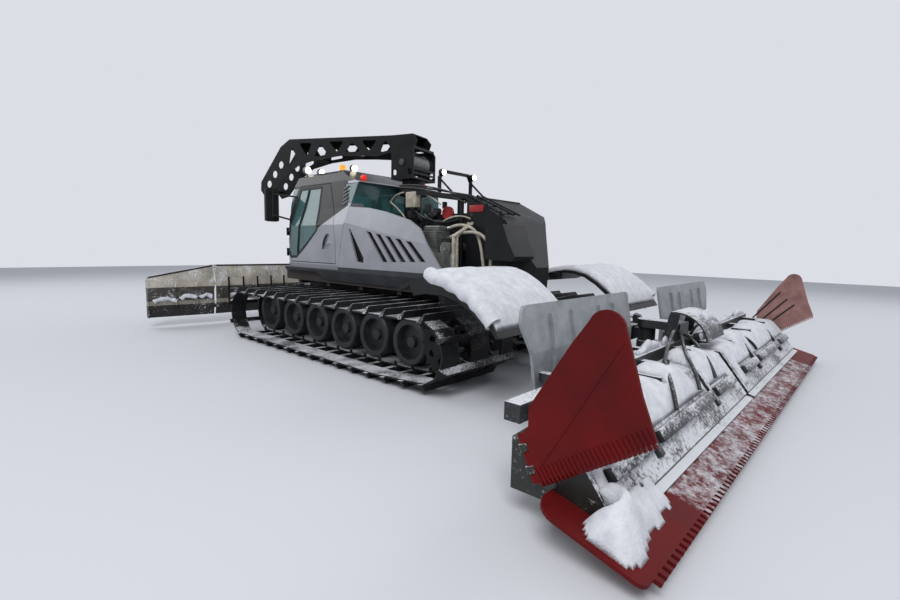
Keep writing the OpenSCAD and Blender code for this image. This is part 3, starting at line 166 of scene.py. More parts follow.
silverPaint = dict(toneMm=900, rough=(0.3, 0.42), metallic=0.35, shine=0.2, coat=0.12, bump=0.04)
thinRime = dict(frost=-0.12, frostMm=12, frostSoft=0.35, frostMost=0.5)
paints = {
    # two-layer metallic car paint: pale silver with a soft clear coat
    "silver": dict(name="metallic_silver_car_paint", dark="#8f9298", light="#a9abb1", **silverPaint,
        **thinRime),
    # the cab's shell in the same paint; the window band is black, the rear pillar silver again
    "cabPaint": dict(name="metallic_silver_cab_paint", dark="#8f9298", light="#a9abb1", frostUp=0.08,
        **silverPaint, **thinRime,
        bands=[dict(across=(0, -0.447, 0.894), start=2.451, colour="#141517"),
               dict(across=(0, 0.94, 0.342), start=-0.117, colour="#9c9ea4"),
               dict(across=(0, 0, 1), start=2.672, colour="#141517")]),
    # door: silver below a slanting line, black window frame above it
    "doorPaint": dict(name="metallic_silver_door_paint", dark="#8b8e94", light="#a5a7ad", **silverPaint,
        bands=[dict(across=(0, -0.447, 0.894), start=2.451, colour="#141517")]),
    # gloss black car paint on the roof
    "roof": dict(name="gloss_black_car_paint", dark="#141517", light="#1d1f22", toneMm=500,
        rough=(0.26, 0.4), shine=0.25, coat=0.1, frost=-0.1, frostUp=0.14, bump=0.04),
    # powder coat: black, satin, with the fine peel of sprayed powder
    "black": dict(name="black_powder_coat_steel", dark="#0c0d0e", light="#191a1c", shine=0.2, toneMm=260,
        grainMm=4, rough=(0.38, 0.58), frost=-0.16, frostUp=0.18, bump=0.12),
    # chassis enamel: grey-black, matt with road film
    "chassis": dict(name="chassis_enamel_steel", dark="#101113", light="#1f2123", shine=0.3, toneMm=200,
        grainMm=6, rough=(0.5, 0.75), frost=-0.14, frostUp=0.3, frostMm=22, driftMm=240, bump=0.2),
    # tiller beams: the same enamel, wetter, with its colours painted lighter than on the chassis as painted
    # light for the light on their tops
    "beam": dict(name="wet_chassis_enamel_steel", dark="#17191a", light="#2c2f31", toneMm=160, grainMm=6,
        rough=(0.25, 0.5), frost=-0.06, frostUp=0.32, frostMm=26, driftMm=300, bump=0.2),
    # checker deck: brown-black anti-slip coat
    "deck": dict(name="antislip_coated_steel", dark="#1a1614", light="#332a25", toneMm=180, grainMm=5,
        rough=(0.6, 0.85), frost=-0.15, frostUp=0.26, bump=0.35),
    # dark grey panel paint below the silver
    "skirt": dict(name="dark_grey_panel_paint", dark="#2c2f33", light="#3d4044", toneMm=400,
        rough=(0.4, 0.55), shine=0.25, frost=-0.1, frostMm=12, frostMost=0.5, bump=0.06),
    # natural rubber belting and its bars: grey-black, matt, with snow packed into it; the white on the bars'
    # upper edges is partly snow and partly painted highlight for their glints
    "belt": dict(name="rubber_belting", dark="#0d0e0f", light="#191a1c", shine=0.3, toneMm=120, grainMm=5,
        # this frost is also painted highlight on the bars' upper edges
        rough=(0.4, 0.7), frost=-0.135, frostUp=0.3, driftMm=220, frostSoft=0.14),
    # steel wheel rims in worn grey enamel
    "wheel": dict(name="grey_enamel_wheel_steel", dark="#26282a", light="#414446", toneMm=160, grainMm=4,
        rough=(0.45, 0.7), metallic=0.2, frost=-0.12, frostUp=0.16, frostMm=18, bump=0.15),
    # cast iron and painted castings of the engine
    "engine": dict(name="painted_engine_castings", dark="#0f1011", light="#232527", toneMm=90, grainMm=5,
        rough=(0.45, 0.7), metallic=0.3),
    # sand-cast aluminium, dull grey
    "castAlu": dict(name="sand_cast_aluminium", dark="#6f7172", light="#93958f", toneMm=80, grainMm=4,
        rough=(0.4, 0.6), metallic=0.6),
    # silicone sleeves over the big hoses
    "hose": dict(name="beige_silicone_hose", dark="#8f897b", light="#c3bdae", toneMm=60, grainMm=6,
        rough=(0.45, 0.65)),
    # nitrile hydraulic hose: black, satin, wrap-marked cover
    "blackHose": dict(name="black_nitrile_hose", dark="#0b0b0c", light="#1a1b1c", toneMm=50,
        rough=(0.35, 0.55), frost=-0.16, frostUp=0.26),
    # zinc-plated fittings and rails
    "zinc": dict(name="zinc_plated_steel", dark="#8a8c8e", light="#b6b8ba", toneMm=40, rough=(0.25, 0.45),
        metallic=0.9, bump=0.1),
    # moulded black plastic, matt, with a fine leather grain
    "plastic": dict(name="moulded_black_polypropylene", dark="#121314", light="#1e1f21", shine=0.3,
        toneMm=220, rough=(0.45, 0.65), frost=-0.12, frostUp=0.16, bump=0.2),
    # woven seat cloth, charcoal, with the weave's fine ribs
    "cloth": dict(name="woven_polyester_seat_cloth", dark="#1c1d20", light="#34363b", toneMm=14, grainMm=5,
        rough=(0.8, 0.95), bump=0.5),
    # cream enamel on the blade, scoured and crusted with rime; its dark lower bands are painted shade of a
    # hollow and of its foot
    "blade": dict(name="cream_enamel_blade_steel", dark="#8a857a", light="#c9c2b4", toneMm=380, grainMm=6,
        rough=(0.45, 0.75), frost=0.04, frostUp=0.2, frostMm=30, frostSoft=0.14, driftMm=260,
        # painted shade: a dark band for the hollow, a cream ledge below it, then a dark band for the foot
        bands=[dict(across=(0, 0, -1), start=-0.76, colour="#3b3731"),
               dict(across=(0, 0, -1), start=-0.5, colour="#8d877b"),
               dict(across=(0, 0, -1), start=-0.42, colour="#1d1b19")]),
    # hard chrome on the cylinder rods
    "chrome": dict(name="hard_chrome_rod", dark="#c4c6c8", light="#dcdee0", toneMm=100, grainMm=2,
        rough=(0.08, 0.16), metallic=1.0, bump=0.02),
    # worn tool steel of the tiller's shaft and teeth
    "tool": dict(name="worn_tool_steel", dark="#3a3b3c", light="#5c5d5d", toneMm=60, grainMm=4,
        rough=(0.3, 0.55), metallic=0.8, bump=0.25),
    # moulded polyethylene sheet, dark olive, glossy where it is wet
    "hood": dict(name="wet_polyethylene_hood", dark="#191b18", light="#2a2d28", toneMm=260, grainMm=4,
        rough=(0.3, 0.5), frost=0.03, frostUp=0.3, frostMm=34, driftMm=420, bump=0.1),
    # dark red flexible polyurethane sheet, satin, swept snow over its middle
    "mat": dict(name="red_polyurethane_mat", dark="#4a0608", light="#680b0d", shine=0.2, toneMm=420,
        rough=(0.55, 0.75), frost=-0.06, frostUp=0.28, frostMm=46, driftMm=160, frostSoft=0.36,
        frostMost=0.85, clearPast=2.62, bump=0.12),
    # the same sheet, clean
    "red": dict(name="red_polyurethane_sheet", dark="#4c0608", light="#6c0b0d", shine=0.2, toneMm=500,
        rough=(0.55, 0.72), frost=-0.2, frostMm=10, frostMost=0.5, bump=0.12),
    # the same sheet frosted all over, so that it reads as dusty pink
    "pink": dict(name="frosted_polyurethane_sheet", dark="#6f4a48", light="#a57d76", toneMm=300,
        rough=(0.6, 0.8), frost=0.0, frostMm=22, frostSoft=0.4, frostMost=0.7, bump=0.2),
    # galvanised sheet, cool grey, soft spangle
    "galvanised": dict(name="galvanised_sheet_steel", dark="#83888c", light="#a0a4a8", toneMm=140,
        grainMm=8, rough=(0.4, 0.6), metallic=0.35, frost=-0.1, frostUp=0.16, frostSoft=0.3, frostMost=0.7,
        bump=0.08),
    # wind-packed snow: white, matt and crumbly; its darker blue-grey tone, spread at random by noise, is
    # painted shade for its hollows
    "snow": dict(name="wind_packed_snow", dark="#c9cdd6", light="#e6e8ec", toneMm=90, grainMm=16,
        rough=(0.75, 0.9), ior=1.31, bump=0.35),
    # gloss red enamel on small castings and plates
    "redEnamel": dict(name="red_enamel_steel", dark="#7d0f10", light="#a8191a", toneMm=120,
        rough=(0.25, 0.4), bump=0.06),
    # galvanised wire rope, dull, wound on the drum
    "rope": dict(name="galvanised_wire_rope", dark="#4a4b4b", light="#8b8c8a", toneMm=30, rough=(0.4, 0.6),
        metallic=0.7, bump=0.5),
    # lamp glass over a lit lamp: warm white, shining
    "lampLit": dict(name="lit_lamp_glass", dark="#fff1cf", light="#fff6e0", toneMm=60, grainMm=4,
        rough=(0.1, 0.2), glow=4.0, bump=0.05),
    # amber polycarbonate of the beacon
    "amber": dict(name="amber_polycarbonate", dark="#e58a12", light="#ffb02e", toneMm=60, grainMm=4,
        rough=(0.12, 0.25), glow=0.8, bump=0.05),
    # red polycarbonate of the tail lamp
    "tail": dict(name="red_polycarbonate", dark="#b3120f", light="#e2271c", toneMm=40, grainMm=4,
        rough=(0.12, 0.25), glow=0.7, bump=0.05),
}
finish = {key: makeMaterial(spec) for key, spec in paints.items()}

# tinted float glass with a faint film of dirt
glassPane = {"name": "tinted_float_glass", "tint": "#6f9c9c", "ior": 1.52, "rough": (0.02, 0.12),
             "filmScale": 9.0, "through": 0.75}


def makeGlass(spec):
    material, tree = newMaterial(spec["name"])
    coords = addNode(tree, "ShaderNodeTexCoord").outputs["Object"]
    film = addNode(tree, "ShaderNodeTexNoise", {"Scale": spec["filmScale"], "Detail": 5.0},
                   {"Vector": coords})
    rough = addNode(tree, "ShaderNodeMapRange", {"To Min": spec["rough"][0], "To Max": spec["rough"][1]},
                    {"Value": film.outputs["Fac"]})
    shader = addNode(tree, "ShaderNodeBsdfPrincipled", {
        "Base Color": hexToLinear(spec["tint"]), "IOR": spec["ior"], "Transmission Weight": spec["through"]},
        {"Roughness": rough.outputs["Result"]})
    addNode(tree, "ShaderNodeOutputMaterial", links={"Surface": shader.outputs[0]})
    return material


finish["glass"] = makeGlass(glassPane)

nodeFinish = {
    "chassis": ["chassis_tub", "axle_beams", "sprockets", "blade_frame", "blade_carrier", "tiller_arm"],
    "beam": ["tiller_frame"],
    "belt": ["track_left", "track_right"],
    "wheel": ["wheels_left", "wheels_right"],
    "deck": ["deck"],
    "skirt": ["deck_skirts"],
    "silver": ["side_panel_left", "side_panel_right"],
    "cabPaint": ["cab_shell"],
    "doorPaint": ["door_left", "door_right"],
    "roof": ["cab_roof"],
    "glass": ["windshield", "cab_rear_glass", "door_glass_left", "door_glass_right"],
    "plastic": ["cab_interior", "mirrors", "fenders"],
    "engine": ["engine"],
    "castAlu": ["engine_dressing", "roof_lights"],
    "hose": ["hoses"],
    "black": ["bay_frame", "rear_cover", "light_arch", "winch_post", "winch_tower", "winch_boom",
              "blade_cylinders", "tiller_cylinders"],
    "tool": ["winch_drum", "rotor_left", "rotor_right"],
    "blade": ["blade", "blade_wing_left", "blade_wing_right"],
    "chrome": ["blade_rods", "tiller_rods"],
    "hood": ["tiller_hoods"],
    "mat": ["finisher"],
    "red": ["side_finisher_left"],
    "pink": ["side_finisher_right"],
    "galvanised": ["deflector_plates"],
}
for key, names in nodeFinish.items():
    for name in names:
        nodes[name].data.materials.clear()
        nodes[name].data.materials.append(finish[key])
print("materials:", len(finish))

# Pieces. Places and sizes are in the part's own millimetres, unless a note says metres. datumY is where
# the frame's middle lies along the machine, whose front points to minus y.

datumY = -0.42335


def place(x, y, z):
    return Vector((x / 1000, y / 1000 + datumY, z / 1000))


def finishPiece(made, name, body, key, angle=35.0):
    # a list of parts is joined to one piece
    piece = joinAll(made) if isinstance(made, list) else made
    selectOnly(piece)
    piece.name = name
    bpy.ops.object.transform_apply()
    bpy.ops.object.shade_smooth_by_angle(angle=math.radians(angle))
    piece.data.materials.clear()
    piece.data.materials.append(finish[key])
    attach(piece, body)
    return piece


def copyOf(source):
    twin = source.copy()
    twin.data = source.data.copy()
    bpy.context.scene.collection.objects.link(twin)
    return twin


def finishPair(made, name, bodies, key, angle=35.0):
    # the left piece, and its mirror image on the right
    left = finishPiece(made, name + "_left", bodies[0], key, angle)
    right = copyOf(left)
    editWhole(right)
    bpy.ops.transform.mirror(constraint_axis=(True, False, False), center_override=(0, 0, 0))
    bpy.ops.mesh.normals_make_consistent(inside=False)
    bpy.ops.object.mode_set(mode="OBJECT")
    finishPiece(right, name + "_right", bodies[1], key, angle)


def joinAll(parts):
    deselectAll()
    for part in parts:
        part.select_set(True)
    bpy.context.view_layer.objects.active = parts[0]
    bpy.ops.object.join()
    return parts[0]


def makeBox(low, high):
    deselectAll()
    a, b = place(*low), place(*high)
    bpy.ops.mesh.primitive_cube_add(size=1, location=(a + b) / 2)
    box = bpy.context.object
    box.scale = b - a
    bpy.ops.object.transform_apply()
    return box


def makeBlock(low, high, bevel=6.0, segments=2):
    # a box between two corners, with all its edges rolled
    block = makeBox(low, high)
    editWhole(block)
    bpy.ops.mesh.bevel(offset=bevel / 1000, segments=segments)
    bpy.ops.object.mode_set(mode="OBJECT")
    return block


domeSteps = [(0.14, 0.5), (0.26, 0.36), (0.38, 0.22)]  # each ring's width by radius, and its rise by height


def makeDisc(centre, radius, depth, axis, vertices=32, inset=0.0, dome=0.0):
    # a turned disc whose axis points along the given vector; its face may be inset or domed
    deselectAll()
    turn = Vector(axis).to_track_quat("Z", "Y").to_euler()
    bpy.ops.mesh.primitive_cylinder_add(vertices=vertices, radius=radius / 1000, depth=depth / 1000,
                                        location=place(*centre), rotation=turn)
    disc = bpy.context.object
    bpy.ops.object.mode_set(mode="EDIT")
    bpy.ops.mesh.select_mode(type="FACE")
    bpy.ops.mesh.select_all(action="DESELECT")
    shape = bmesh.from_edit_mesh(disc.data)
    max(shape.faces, key=lambda f: f.calc_center_median().z).select = True
    bmesh.update_edit_mesh(disc.data)
    if inset:
        bpy.ops.mesh.inset(thickness=inset / 1000, depth=-0.3 * inset / 1000)
    if dome:
        for width, rise in domeSteps:
            bpy.ops.mesh.inset(thickness=radius / 1000 * width, depth=dome / 1000 * rise)
    bpy.ops.object.mode_set(mode="OBJECT")
    return disc


def makeTube(points, radius, sides=3, smooth=True):
    # a hose or bent tube through the points, with capped ends
    deselectAll()
    data = bpy.data.curves.new("tube", "CURVE")
    data.dimensions = "3D"
    spline = data.splines.new("NURBS" if smooth else "POLY")
    spline.points.add(len(points) - 1)
    for point, spot in zip(spline.points, points):
        point.co = (*place(*spot), 1.0)
    if smooth:
        spline.use_endpoint_u = True
        spline.order_u = 4
    data.bevel_depth = radius / 1000
    data.bevel_resolution = sides
    data.resolution_u = 6
    data.use_fill_caps = True
    selectOnly(newObject("tube", data))
    bpy.ops.object.convert(target="MESH")
    return bpy.context.object


def thicken(piece, thick, offset=-1.0):
    selectOnly(piece)
    solid = piece.modifiers.new("thickness", "SOLIDIFY")
    solid.thickness = thick / 1000
    solid.offset = offset
    bpy.ops.object.modifier_apply(modifier=solid.name)
    return piece


def crumble(piece, amount, pitch, shifts):
    # moves each point by noise, with one shift of the noise for each axis
    for vert in piece.data.vertices:
        vert.co += amount * Vector([noise.noise(vert.co * pitch + Vector(shift)) for shift in shifts])
    return piece


# Snow that lies on the machine: a grid is dropped on what carries it and raised to the snow's top. Its
# cell, depths and rounding are in metres. A mound is a row of x and y in mm, radius and height in metres.

snowRules = {"thinnest": 0.006, "sunk": 0.002, "drop": 0.05, "step": 0.09, "frontFrom": 0.7}


def topOf(carriers, x, y):
    hits = [nodes[name].ray_cast(Vector((x, y, 5.0)), Vector((0, 0, -1))) for name in carriers]
    return max((spot.z for hit, spot, normal, index in hits if hit), default=None)


def snowDepth(spec, x, y, edge):
    lump = noise.fractal(Vector((x * spec["lumps"], y * spec["lumps"], spec["seed"])), 0.8, 2.0, 4)
    deep = spec["deep"] * (1 + spec["rough"] * lump)
    for moundX, moundY, radius, height in spec.get("mounds", []):
        away = (Vector((x, y)) - place(moundX, moundY, 0).xy).length / radius
        deep += height * max(0.0, 1 - away * away) ** 1.5
    return deep * math.sqrt(max(0.0, 1 - max(0.0, 1 - edge) ** 2))


def drapeSnow(spec):
    deselectAll()
    nearX, farX = sorted(spec["side"] * x for x in spec["x"])
    low, high = place(nearX, spec["y"][0], 0), place(farX, spec["y"][1], 0)
    span = high - low
    cells = [max(2, int(round(span[i] / spec["cell"]))) for i in (0, 1)]
    bpy.ops.mesh.primitive_grid_add(x_subdivisions=cells[0], y_subdivisions=cells[1], size=1,
                                    location=(low + high) / 2)
    sheet = bpy.context.object
    sheet.scale = (span.x, span.y, 1)
    bpy.ops.object.transform_apply()
    shape = bmesh.new()
    shape.from_mesh(sheet.data)
    rise = {}
    bare = []
    for vert in shape.verts:
        x, y = vert.co.x, vert.co.y
        ground = topOf(spec["on"], x, y)
        edge = min(x - low.x, high.x - x, y - low.y, high.y - y)
        if "front" in spec:
            # the crust begins along a slanting line
            start, slant = spec["front"]
            edge = min(edge, y - (start / 1000 + datumY + slant * (abs(x) - snowRules["frontFrom"])))
        deep = snowDepth(spec, x, y, edge / spec["round"])
        patch = noise.noise(Vector((x * spec["patches"], y * spec["patches"], spec["seed"] + 7)))
        thin = ground is None or deep < snowRules["thinnest"] or patch < spec["cover"]
        if not thin and "plane" in spec:
            # nothing lies on what stands off the carrier's own top
            flat = spec["plane"](y)
            thin = ground > flat + spec["proud"] or ground < flat - snowRules["drop"]
        if thin:
            bare.append(vert)
        else:
            vert.co.z = ground - snowRules["sunk"]
            rise[(round(x, 4), round(y, 4))] = deep
    bmesh.ops.delete(shape, geom=bare, context="VERTS")
    bmesh.ops.delete(shape, geom=[v for v in shape.verts if not v.link_faces], context="VERTS")
    steep = [f for f in shape.faces
             if max(v.co.z for v in f.verts) - min(v.co.z for v in f.verts) > snowRules["step"]]
    bmesh.ops.delete(shape, geom=steep, context="FACES")
    top = bmesh.ops.extrude_face_region(shape, geom=shape.faces[:])["geom"]
    raised = [g for g in top if isinstance(g, bmesh.types.BMVert)]
    for vert in raised:
        vert.co.z += rise[(round(vert.co.x, 4), round(vert.co.y, 4))] + snowRules["sunk"]
    for turn in range(spec["smooth"]):
        bmesh.ops.smooth_vert(shape, verts=raised, factor=0.5, use_axis_x=True, use_axis_y=True,
                              use_axis_z=True)
    bmesh.ops.recalc_face_normals(shape, faces=shape.faces[:])
    shape.to_mesh(sheet.data)
    shape.free()
    finishPiece(sheet, spec["name"], spec["body"], "snow", 180.0)


sides = ((1, "left"), (-1, "right"))

fenderSnow = dict(body="machine", slot="fender_dark", on=["fenders"], x=(705, 2096), y=(1905, 3290),
                  cell=0.035, deep=0.08, rough=0.22, lumps=2.2, patches=1.0, cover=-2.0, round=0.12,
                  smooth=4, front=(1950, 0.27))
for (side, word), seed in zip(sides, (3.0, 11.0)):
    drapeSnow(dict(fenderSnow, name="fender_snow_" + word, side=side, seed=seed))

# a lumpy roll of snow that hangs over the fender's edge
edgeRoll = {"line": [(2010, 2320, 1345), (2030, 2400, 1322), (2040, 2560, 1308), (2042, 2740, 1258),
                     (2040, 2920, 1160), (2038, 3080, 1040), (2032, 3200, 920)],
            "radius": 88, "seed": 5.0, "lumps": 0.02, "pitch": 9}
for side, word in sides:
    roll = makeTube([(side * x, y, z) for x, y, z in edgeRoll["line"]], edgeRoll["radius"], sides=4)
    seed = side * edgeRoll["seed"]
    crumble(roll, edgeRoll["lumps"], edgeRoll["pitch"], ((seed, 0, 0), (0, seed, 0), (0, 0, seed)))
    finishPiece(roll, "fender_edge_snow_" + word, "machine", "snow", 180.0)

hoodSlope = {"bend": 4660, "rear": 4950, "top": 0.590, "foot": 0.215}  # places in mm, heights in metres


def hoodHeight(y):
    # the hood's own top: flat, then falling to the rear
    bend, rear = (hoodSlope[k] / 1000 + datumY for k in ("bend", "rear"))
    if y < bend:
        return hoodSlope["top"]
    return hoodSlope["top"] + (hoodSlope["foot"] - hoodSlope["top"]) * (y - bend) / (rear - bend)


hoodSnow = dict(body="tiller", slot="hood_dark", on=["tiller_hoods"], x=(60, 3250), y=(4300, 4945),
                cell=0.03, deep=0.04, rough=0.55, lumps=1.8, patches=1.4, cover=-0.42, round=0.05, smooth=4,
                plane=hoodHeight, proud=0.02)
hoodMounds = {"left": [(3040, 4560, 0.3, 0.1), (2300, 4480, 0.35, 0.07), (1500, 4470, 0.4, 0.06),
                       (620, 4480, 0.4, 0.08)],
              "right": [(-900, 4480, 0.4, 0.09), (-2200, 4480, 0.4, 0.06)]}
for (side, word), seed in zip(sides, (21.0, 33.0)):
    drapeSnow(dict(hoodSnow, name="hood_snow_" + word, side=side, seed=seed, mounds=hoodMounds[word]))
drapeSnow(dict(name="mat_snow_left", side=1, body="tiller", slot="finisher_red", seed=41.0,
               on=["finisher", "tiller_hoods"], x=(2560, 3480), y=(4780, 5190), cell=0.022, deep=-0.02,
               rough=0.9, lumps=5.0, patches=3.0, cover=-2.0, round=0.09, smooth=8,
               mounds=[(3330, 4990, 0.2, 0.2), (3180, 4980, 0.17, 0.16), (2960, 4985, 0.16, 0.13),
                       (2760, 4990, 0.14, 0.08)]))
frameSnow = dict(body="tiller", slot="tiller_black", on=["tiller_frame"], x=(400, 3190), y=(4184, 4296),
                 cell=0.022, deep=0.07, rough=0.9, lumps=4.0, patches=1.5, cover=-0.12, round=0.04, smooth=2)
for (side, word), seed in zip(sides, (51.0, 61.0)):
    drapeSnow(dict(frameSnow, name="frame_snow_" + word, side=side, seed=seed))
drapeSnow(dict(frameSnow, name="shield_snow", side=1, x=(-318, 318), y=(4240, 4560), cell=0.02, deep=0.05,
               lumps=5.0, patches=4.0, cover=0.18, round=0.05, seed=71.0))
print("snow laid")

# Fender brushes: rows of stiff bristles below the flange, which bends down towards the rear

bristleSpec = {"count": 110, "length": 150, "radius": 3.2, "tip": 0.8, "hang": 0.42, "x": 2072,
               "y": (2520, 3130), "rim": 1150, "bend": 0.00073, "bendFrom": 2480}


def makeBrush(spec, side):
    generator = random.Random(5)
    deselectAll()
    bpy.ops.mesh.primitive_cone_add(vertices=4, radius1=spec["radius"] / 1000, radius2=spec["tip"] / 1000,
                                    depth=spec["length"] / 1000, end_fill_type="TRIFAN")
    first = bpy.context.object
    bristles = []
    for i in range(spec["count"]):
        y = spec["y"][0] + i / (spec["count"] - 1) * (spec["y"][1] - spec["y"][0])
        z = spec["rim"] - spec["bend"] * max(0, y - spec["bendFrom"]) ** 2
        twin = copyOf(first)
        x = side * (spec["x"] + generator.uniform(-10, 6))
        twin.location = place(x, y, z - spec["length"] * spec["hang"])
        twin.rotation_euler = (math.pi + generator.uniform(-0.25, 0.12), generator.uniform(-0.16, 0.16), 0)
        twin.scale = (1, 1, generator.uniform(0.75, 1.1))
        bristles.append(twin)
    bpy.data.objects.remove(first)
    return bristles


for side, word in sides:
    finishPiece(makeBrush(bristleSpec, side), "fender_brush_" + word, "machine", "plastic")

# Lamps: a lens on both faces of each roof lamp, one more lamp at the roof's edge, tail lamps, beacon dome,
# and the work lamp on the tiller's shield

roofLamp = {"spots": [(745, -2149, 2990), (420, -2199, 2995)], "deep": 72, "radius": 60, "lens": 10,
            "dome": 14}
lenses = []
for way in (1, -1):
    for side in (1, -1):
        for x, y, z in roofLamp["spots"]:
            spot = (side * x, y if way > 0 else y - roofLamp["deep"], z)
            lenses.append(makeDisc(spot, roofLamp["radius"], roofLamp["lens"], (0, way, 0),
                                   dome=roofLamp["dome"]))
edgeLamp = {"lens": (540, -1004, 2948), "shell": (540, -1040, 2952), "axis": (0.25, 1, -0.1)}
lenses.append(makeDisc(edgeLamp["lens"], 52, roofLamp["lens"], edgeLamp["axis"], dome=roofLamp["dome"]))
finishPiece(lenses, "roof_lamp_lenses", "machine", "lampLit")
lampShell = [makeDisc(edgeLamp["shell"], 60, 62, edgeLamp["axis"], inset=8),
             makeBlock((526, -1052, 2890), (554, -1026, 2934), 3)]
finishPiece(lampShell, "roof_edge_lamp", "machine", "plastic")
tailLamps = [makeDisc((side * 690, -556, 2738), 46, 44, (0.1, 1, 0), dome=8) for side in (-1, 1)]
finishPiece(tailLamps, "roof_tail_lamps", "machine", "tail")
archLenses = [makeDisc((side * 350, 931, 2740), 44, 8, (0, 1, 0), dome=12) for side in (-1, 1)]
finishPiece(archLenses, "arch_lamp_lenses", "machine", "lampLit")
finishPiece(makeDisc((300, -1700, 3050), 55, 86, (0, 0, 1), dome=12), "beacon_dome", "machine",
            "amber", 50.0)
finishPiece(makeDisc((330, 4562, 790), 40, 12, (0.35, 1, 0.1), dome=12), "shield_lamp_lens", "tiller",
            "zinc")
finishPiece(makeTube([(318, 4500, 770), (330, 4558, 790)], 42, smooth=False), "shield_lamp_shell", "tiller",
            "plastic")
print("lamps fitted")

# Winch: wire rope on the drum, in the tower's own turned frame

winchTurn = math.radians(192)
winchY = -100
winchAcross = Vector((math.cos(winchTurn), math.sin(winchTurn), 0))  # the drum's and the sheave's axis


def onWinch(x, y, z):
    # from the tower's own axes, whose y runs out along the boom
    return (x * math.cos(winchTurn) - y * math.sin(winchTurn),
            x * math.sin(winchTurn) + y * math.cos(winchTurn) + winchY, z)


ropeSpec = {"radius": 9, "drum": 2990, "core": 134, "half": 275, "layers": 2, "layerStep": 15}


def makeRope(spec):
    deselectAll()
    turns = []
    count = int(2 * spec["half"] / (2 * spec["radius"]))
    for layer in range(spec["layers"]):
        radius = spec["core"] + spec["layerStep"] * layer + spec["radius"]
        bpy.ops.mesh.primitive_torus_add(major_segments=40, minor_segments=6, major_radius=radius / 1000,
                                         minor_radius=spec["radius"] / 1000,
                                         rotation=winchAcross.to_track_quat("Z", "Y").to_euler())
        first = bpy.context.object
        for i in range(count - 2 * layer):
            x = -spec["half"] + spec["radius"] * (2 * i + 1 + 2 * layer)
            twin = copyOf(first)
            twin.location = place(*onWinch(x, 0, spec["drum"]))
            turns.append(twin)
        bpy.data.objects.remove(first)
        deselectAll()
    return turns


finishPiece(makeRope(ropeSpec), "rope_on_drum", "winch_reel", "rope", 60.0)
cheeks = [makeDisc(onWinch(33 * way, 3480, 2690), 98, 8, winchAcross * way, vertices=40, inset=20)
          for way in (-1, 1)]
finishPiece(cheeks, "sheave_cheeks", "winch", "redEnamel")
finishPiece(makeTube([onWinch(60, 2720, 3260), onWinch(60, 3120, 3080)], 42, smooth=False), "boom_ram",
            "winch", "hose")
print("winch dressed")

# Engine bay: hoses with their clamps, finned cooler, alternator, filter box, rails and small fittings

wideHoses = [
    [(735, 1390, 1890), (740, 1560, 1950), (735, 1750, 1930), (730, 1900, 1850), (725, 1980, 1640),
     (722, 2010, 1420), (722, 2035, 1290)],
    [(785, 1450, 1760), (790, 1600, 1820), (785, 1830, 1850), (785, 2020, 1820), (782, 2140, 1710),
     (782, 2190, 1540), (782, 2170, 1330)],
]
thinHoses = [
    [(560, -20, 2340), (580, 80, 2430), (590, 330, 2475), (600, 620, 2450), (600, 930, 2370),
     (590, 1100, 2240)],
    [(575, -20, 2330), (600, 150, 2250), (610, 330, 2130), (600, 420, 2000)],
    [(690, 1250, 1990), (720, 1420, 2070), (700, 1620, 2080), (670, 1730, 2020)],
]
blackHoses = [
    [(560, 180, 2575), (560, 480, 2570), (560, 760, 2530), (565, 1270, 2420), (570, 1560, 2290),
     (600, 1710, 2180), (640, 1730, 2060)],
    [(530, 180, 2560), (530, 700, 2530), (535, 1260, 2400), (540, 1600, 2350)],
    [(590, 200, 2540), (595, 700, 2510), (600, 1200, 2400), (620, 1600, 2240)],
    [(720, 900, 2100), (740, 1050, 1980), (700, 1250, 1950), (640, 1500, 2020)],
    [(700, 700, 2150), (700, 900, 2000), (640, 1120, 1960), (560, 1400, 2060)],
    [(860, 1820, 1010), (860, 1860, 1190), (850, 1930, 1260), (820, 1990, 1200), (800, 1985, 1020)],
    [(900, 1640, 1010), (905, 1700, 1200), (880, 1810, 1330), (840, 1890, 1330)],
]
finishPiece([makeTube(p, 21) for p in wideHoses] + [makeTube(p, 11) for p in thinHoses], "bay_hoses_beige",
            "machine", "hose", 60.0)
finishPiece([makeTube(p, 13) for p in blackHoses], "bay_hoses_black", "machine", "blackHose",
            60.0)
collars = [((722, 2035, 1330), (722, 2037, 1270), 27), ((782, 2172, 1370), (782, 2169, 1312), 27),
           ((735, 1370, 1888), (736, 1430, 1900), 26), ((785, 1430, 1755), (787, 1490, 1775), 26)]
finishPiece([makeTube([a, b], radius, sides=1, smooth=False) for a, b, radius in collars], "hose_clamps",
            "machine", "zinc")

coolerSpec = {"low": (735, 1110, 1740), "high": (905, 1370, 1925), "fins": 9, "fin": 8, "proud": 14}


def makeCooler(spec):
    low, high, proud = Vector(spec["low"]), Vector(spec["high"]), spec["proud"]
    parts = [makeBlock(low, high, 8)]
    step = (high.z - low.z - 20) / spec["fins"]
    for i in range(spec["fins"]):
        z = low.z + 14 + i * step
        parts.append(makeBlock((low.x - proud, low.y - proud, z),
                               (high.x + proud, high.y + proud, z + spec["fin"]), 2, 1))
    return parts


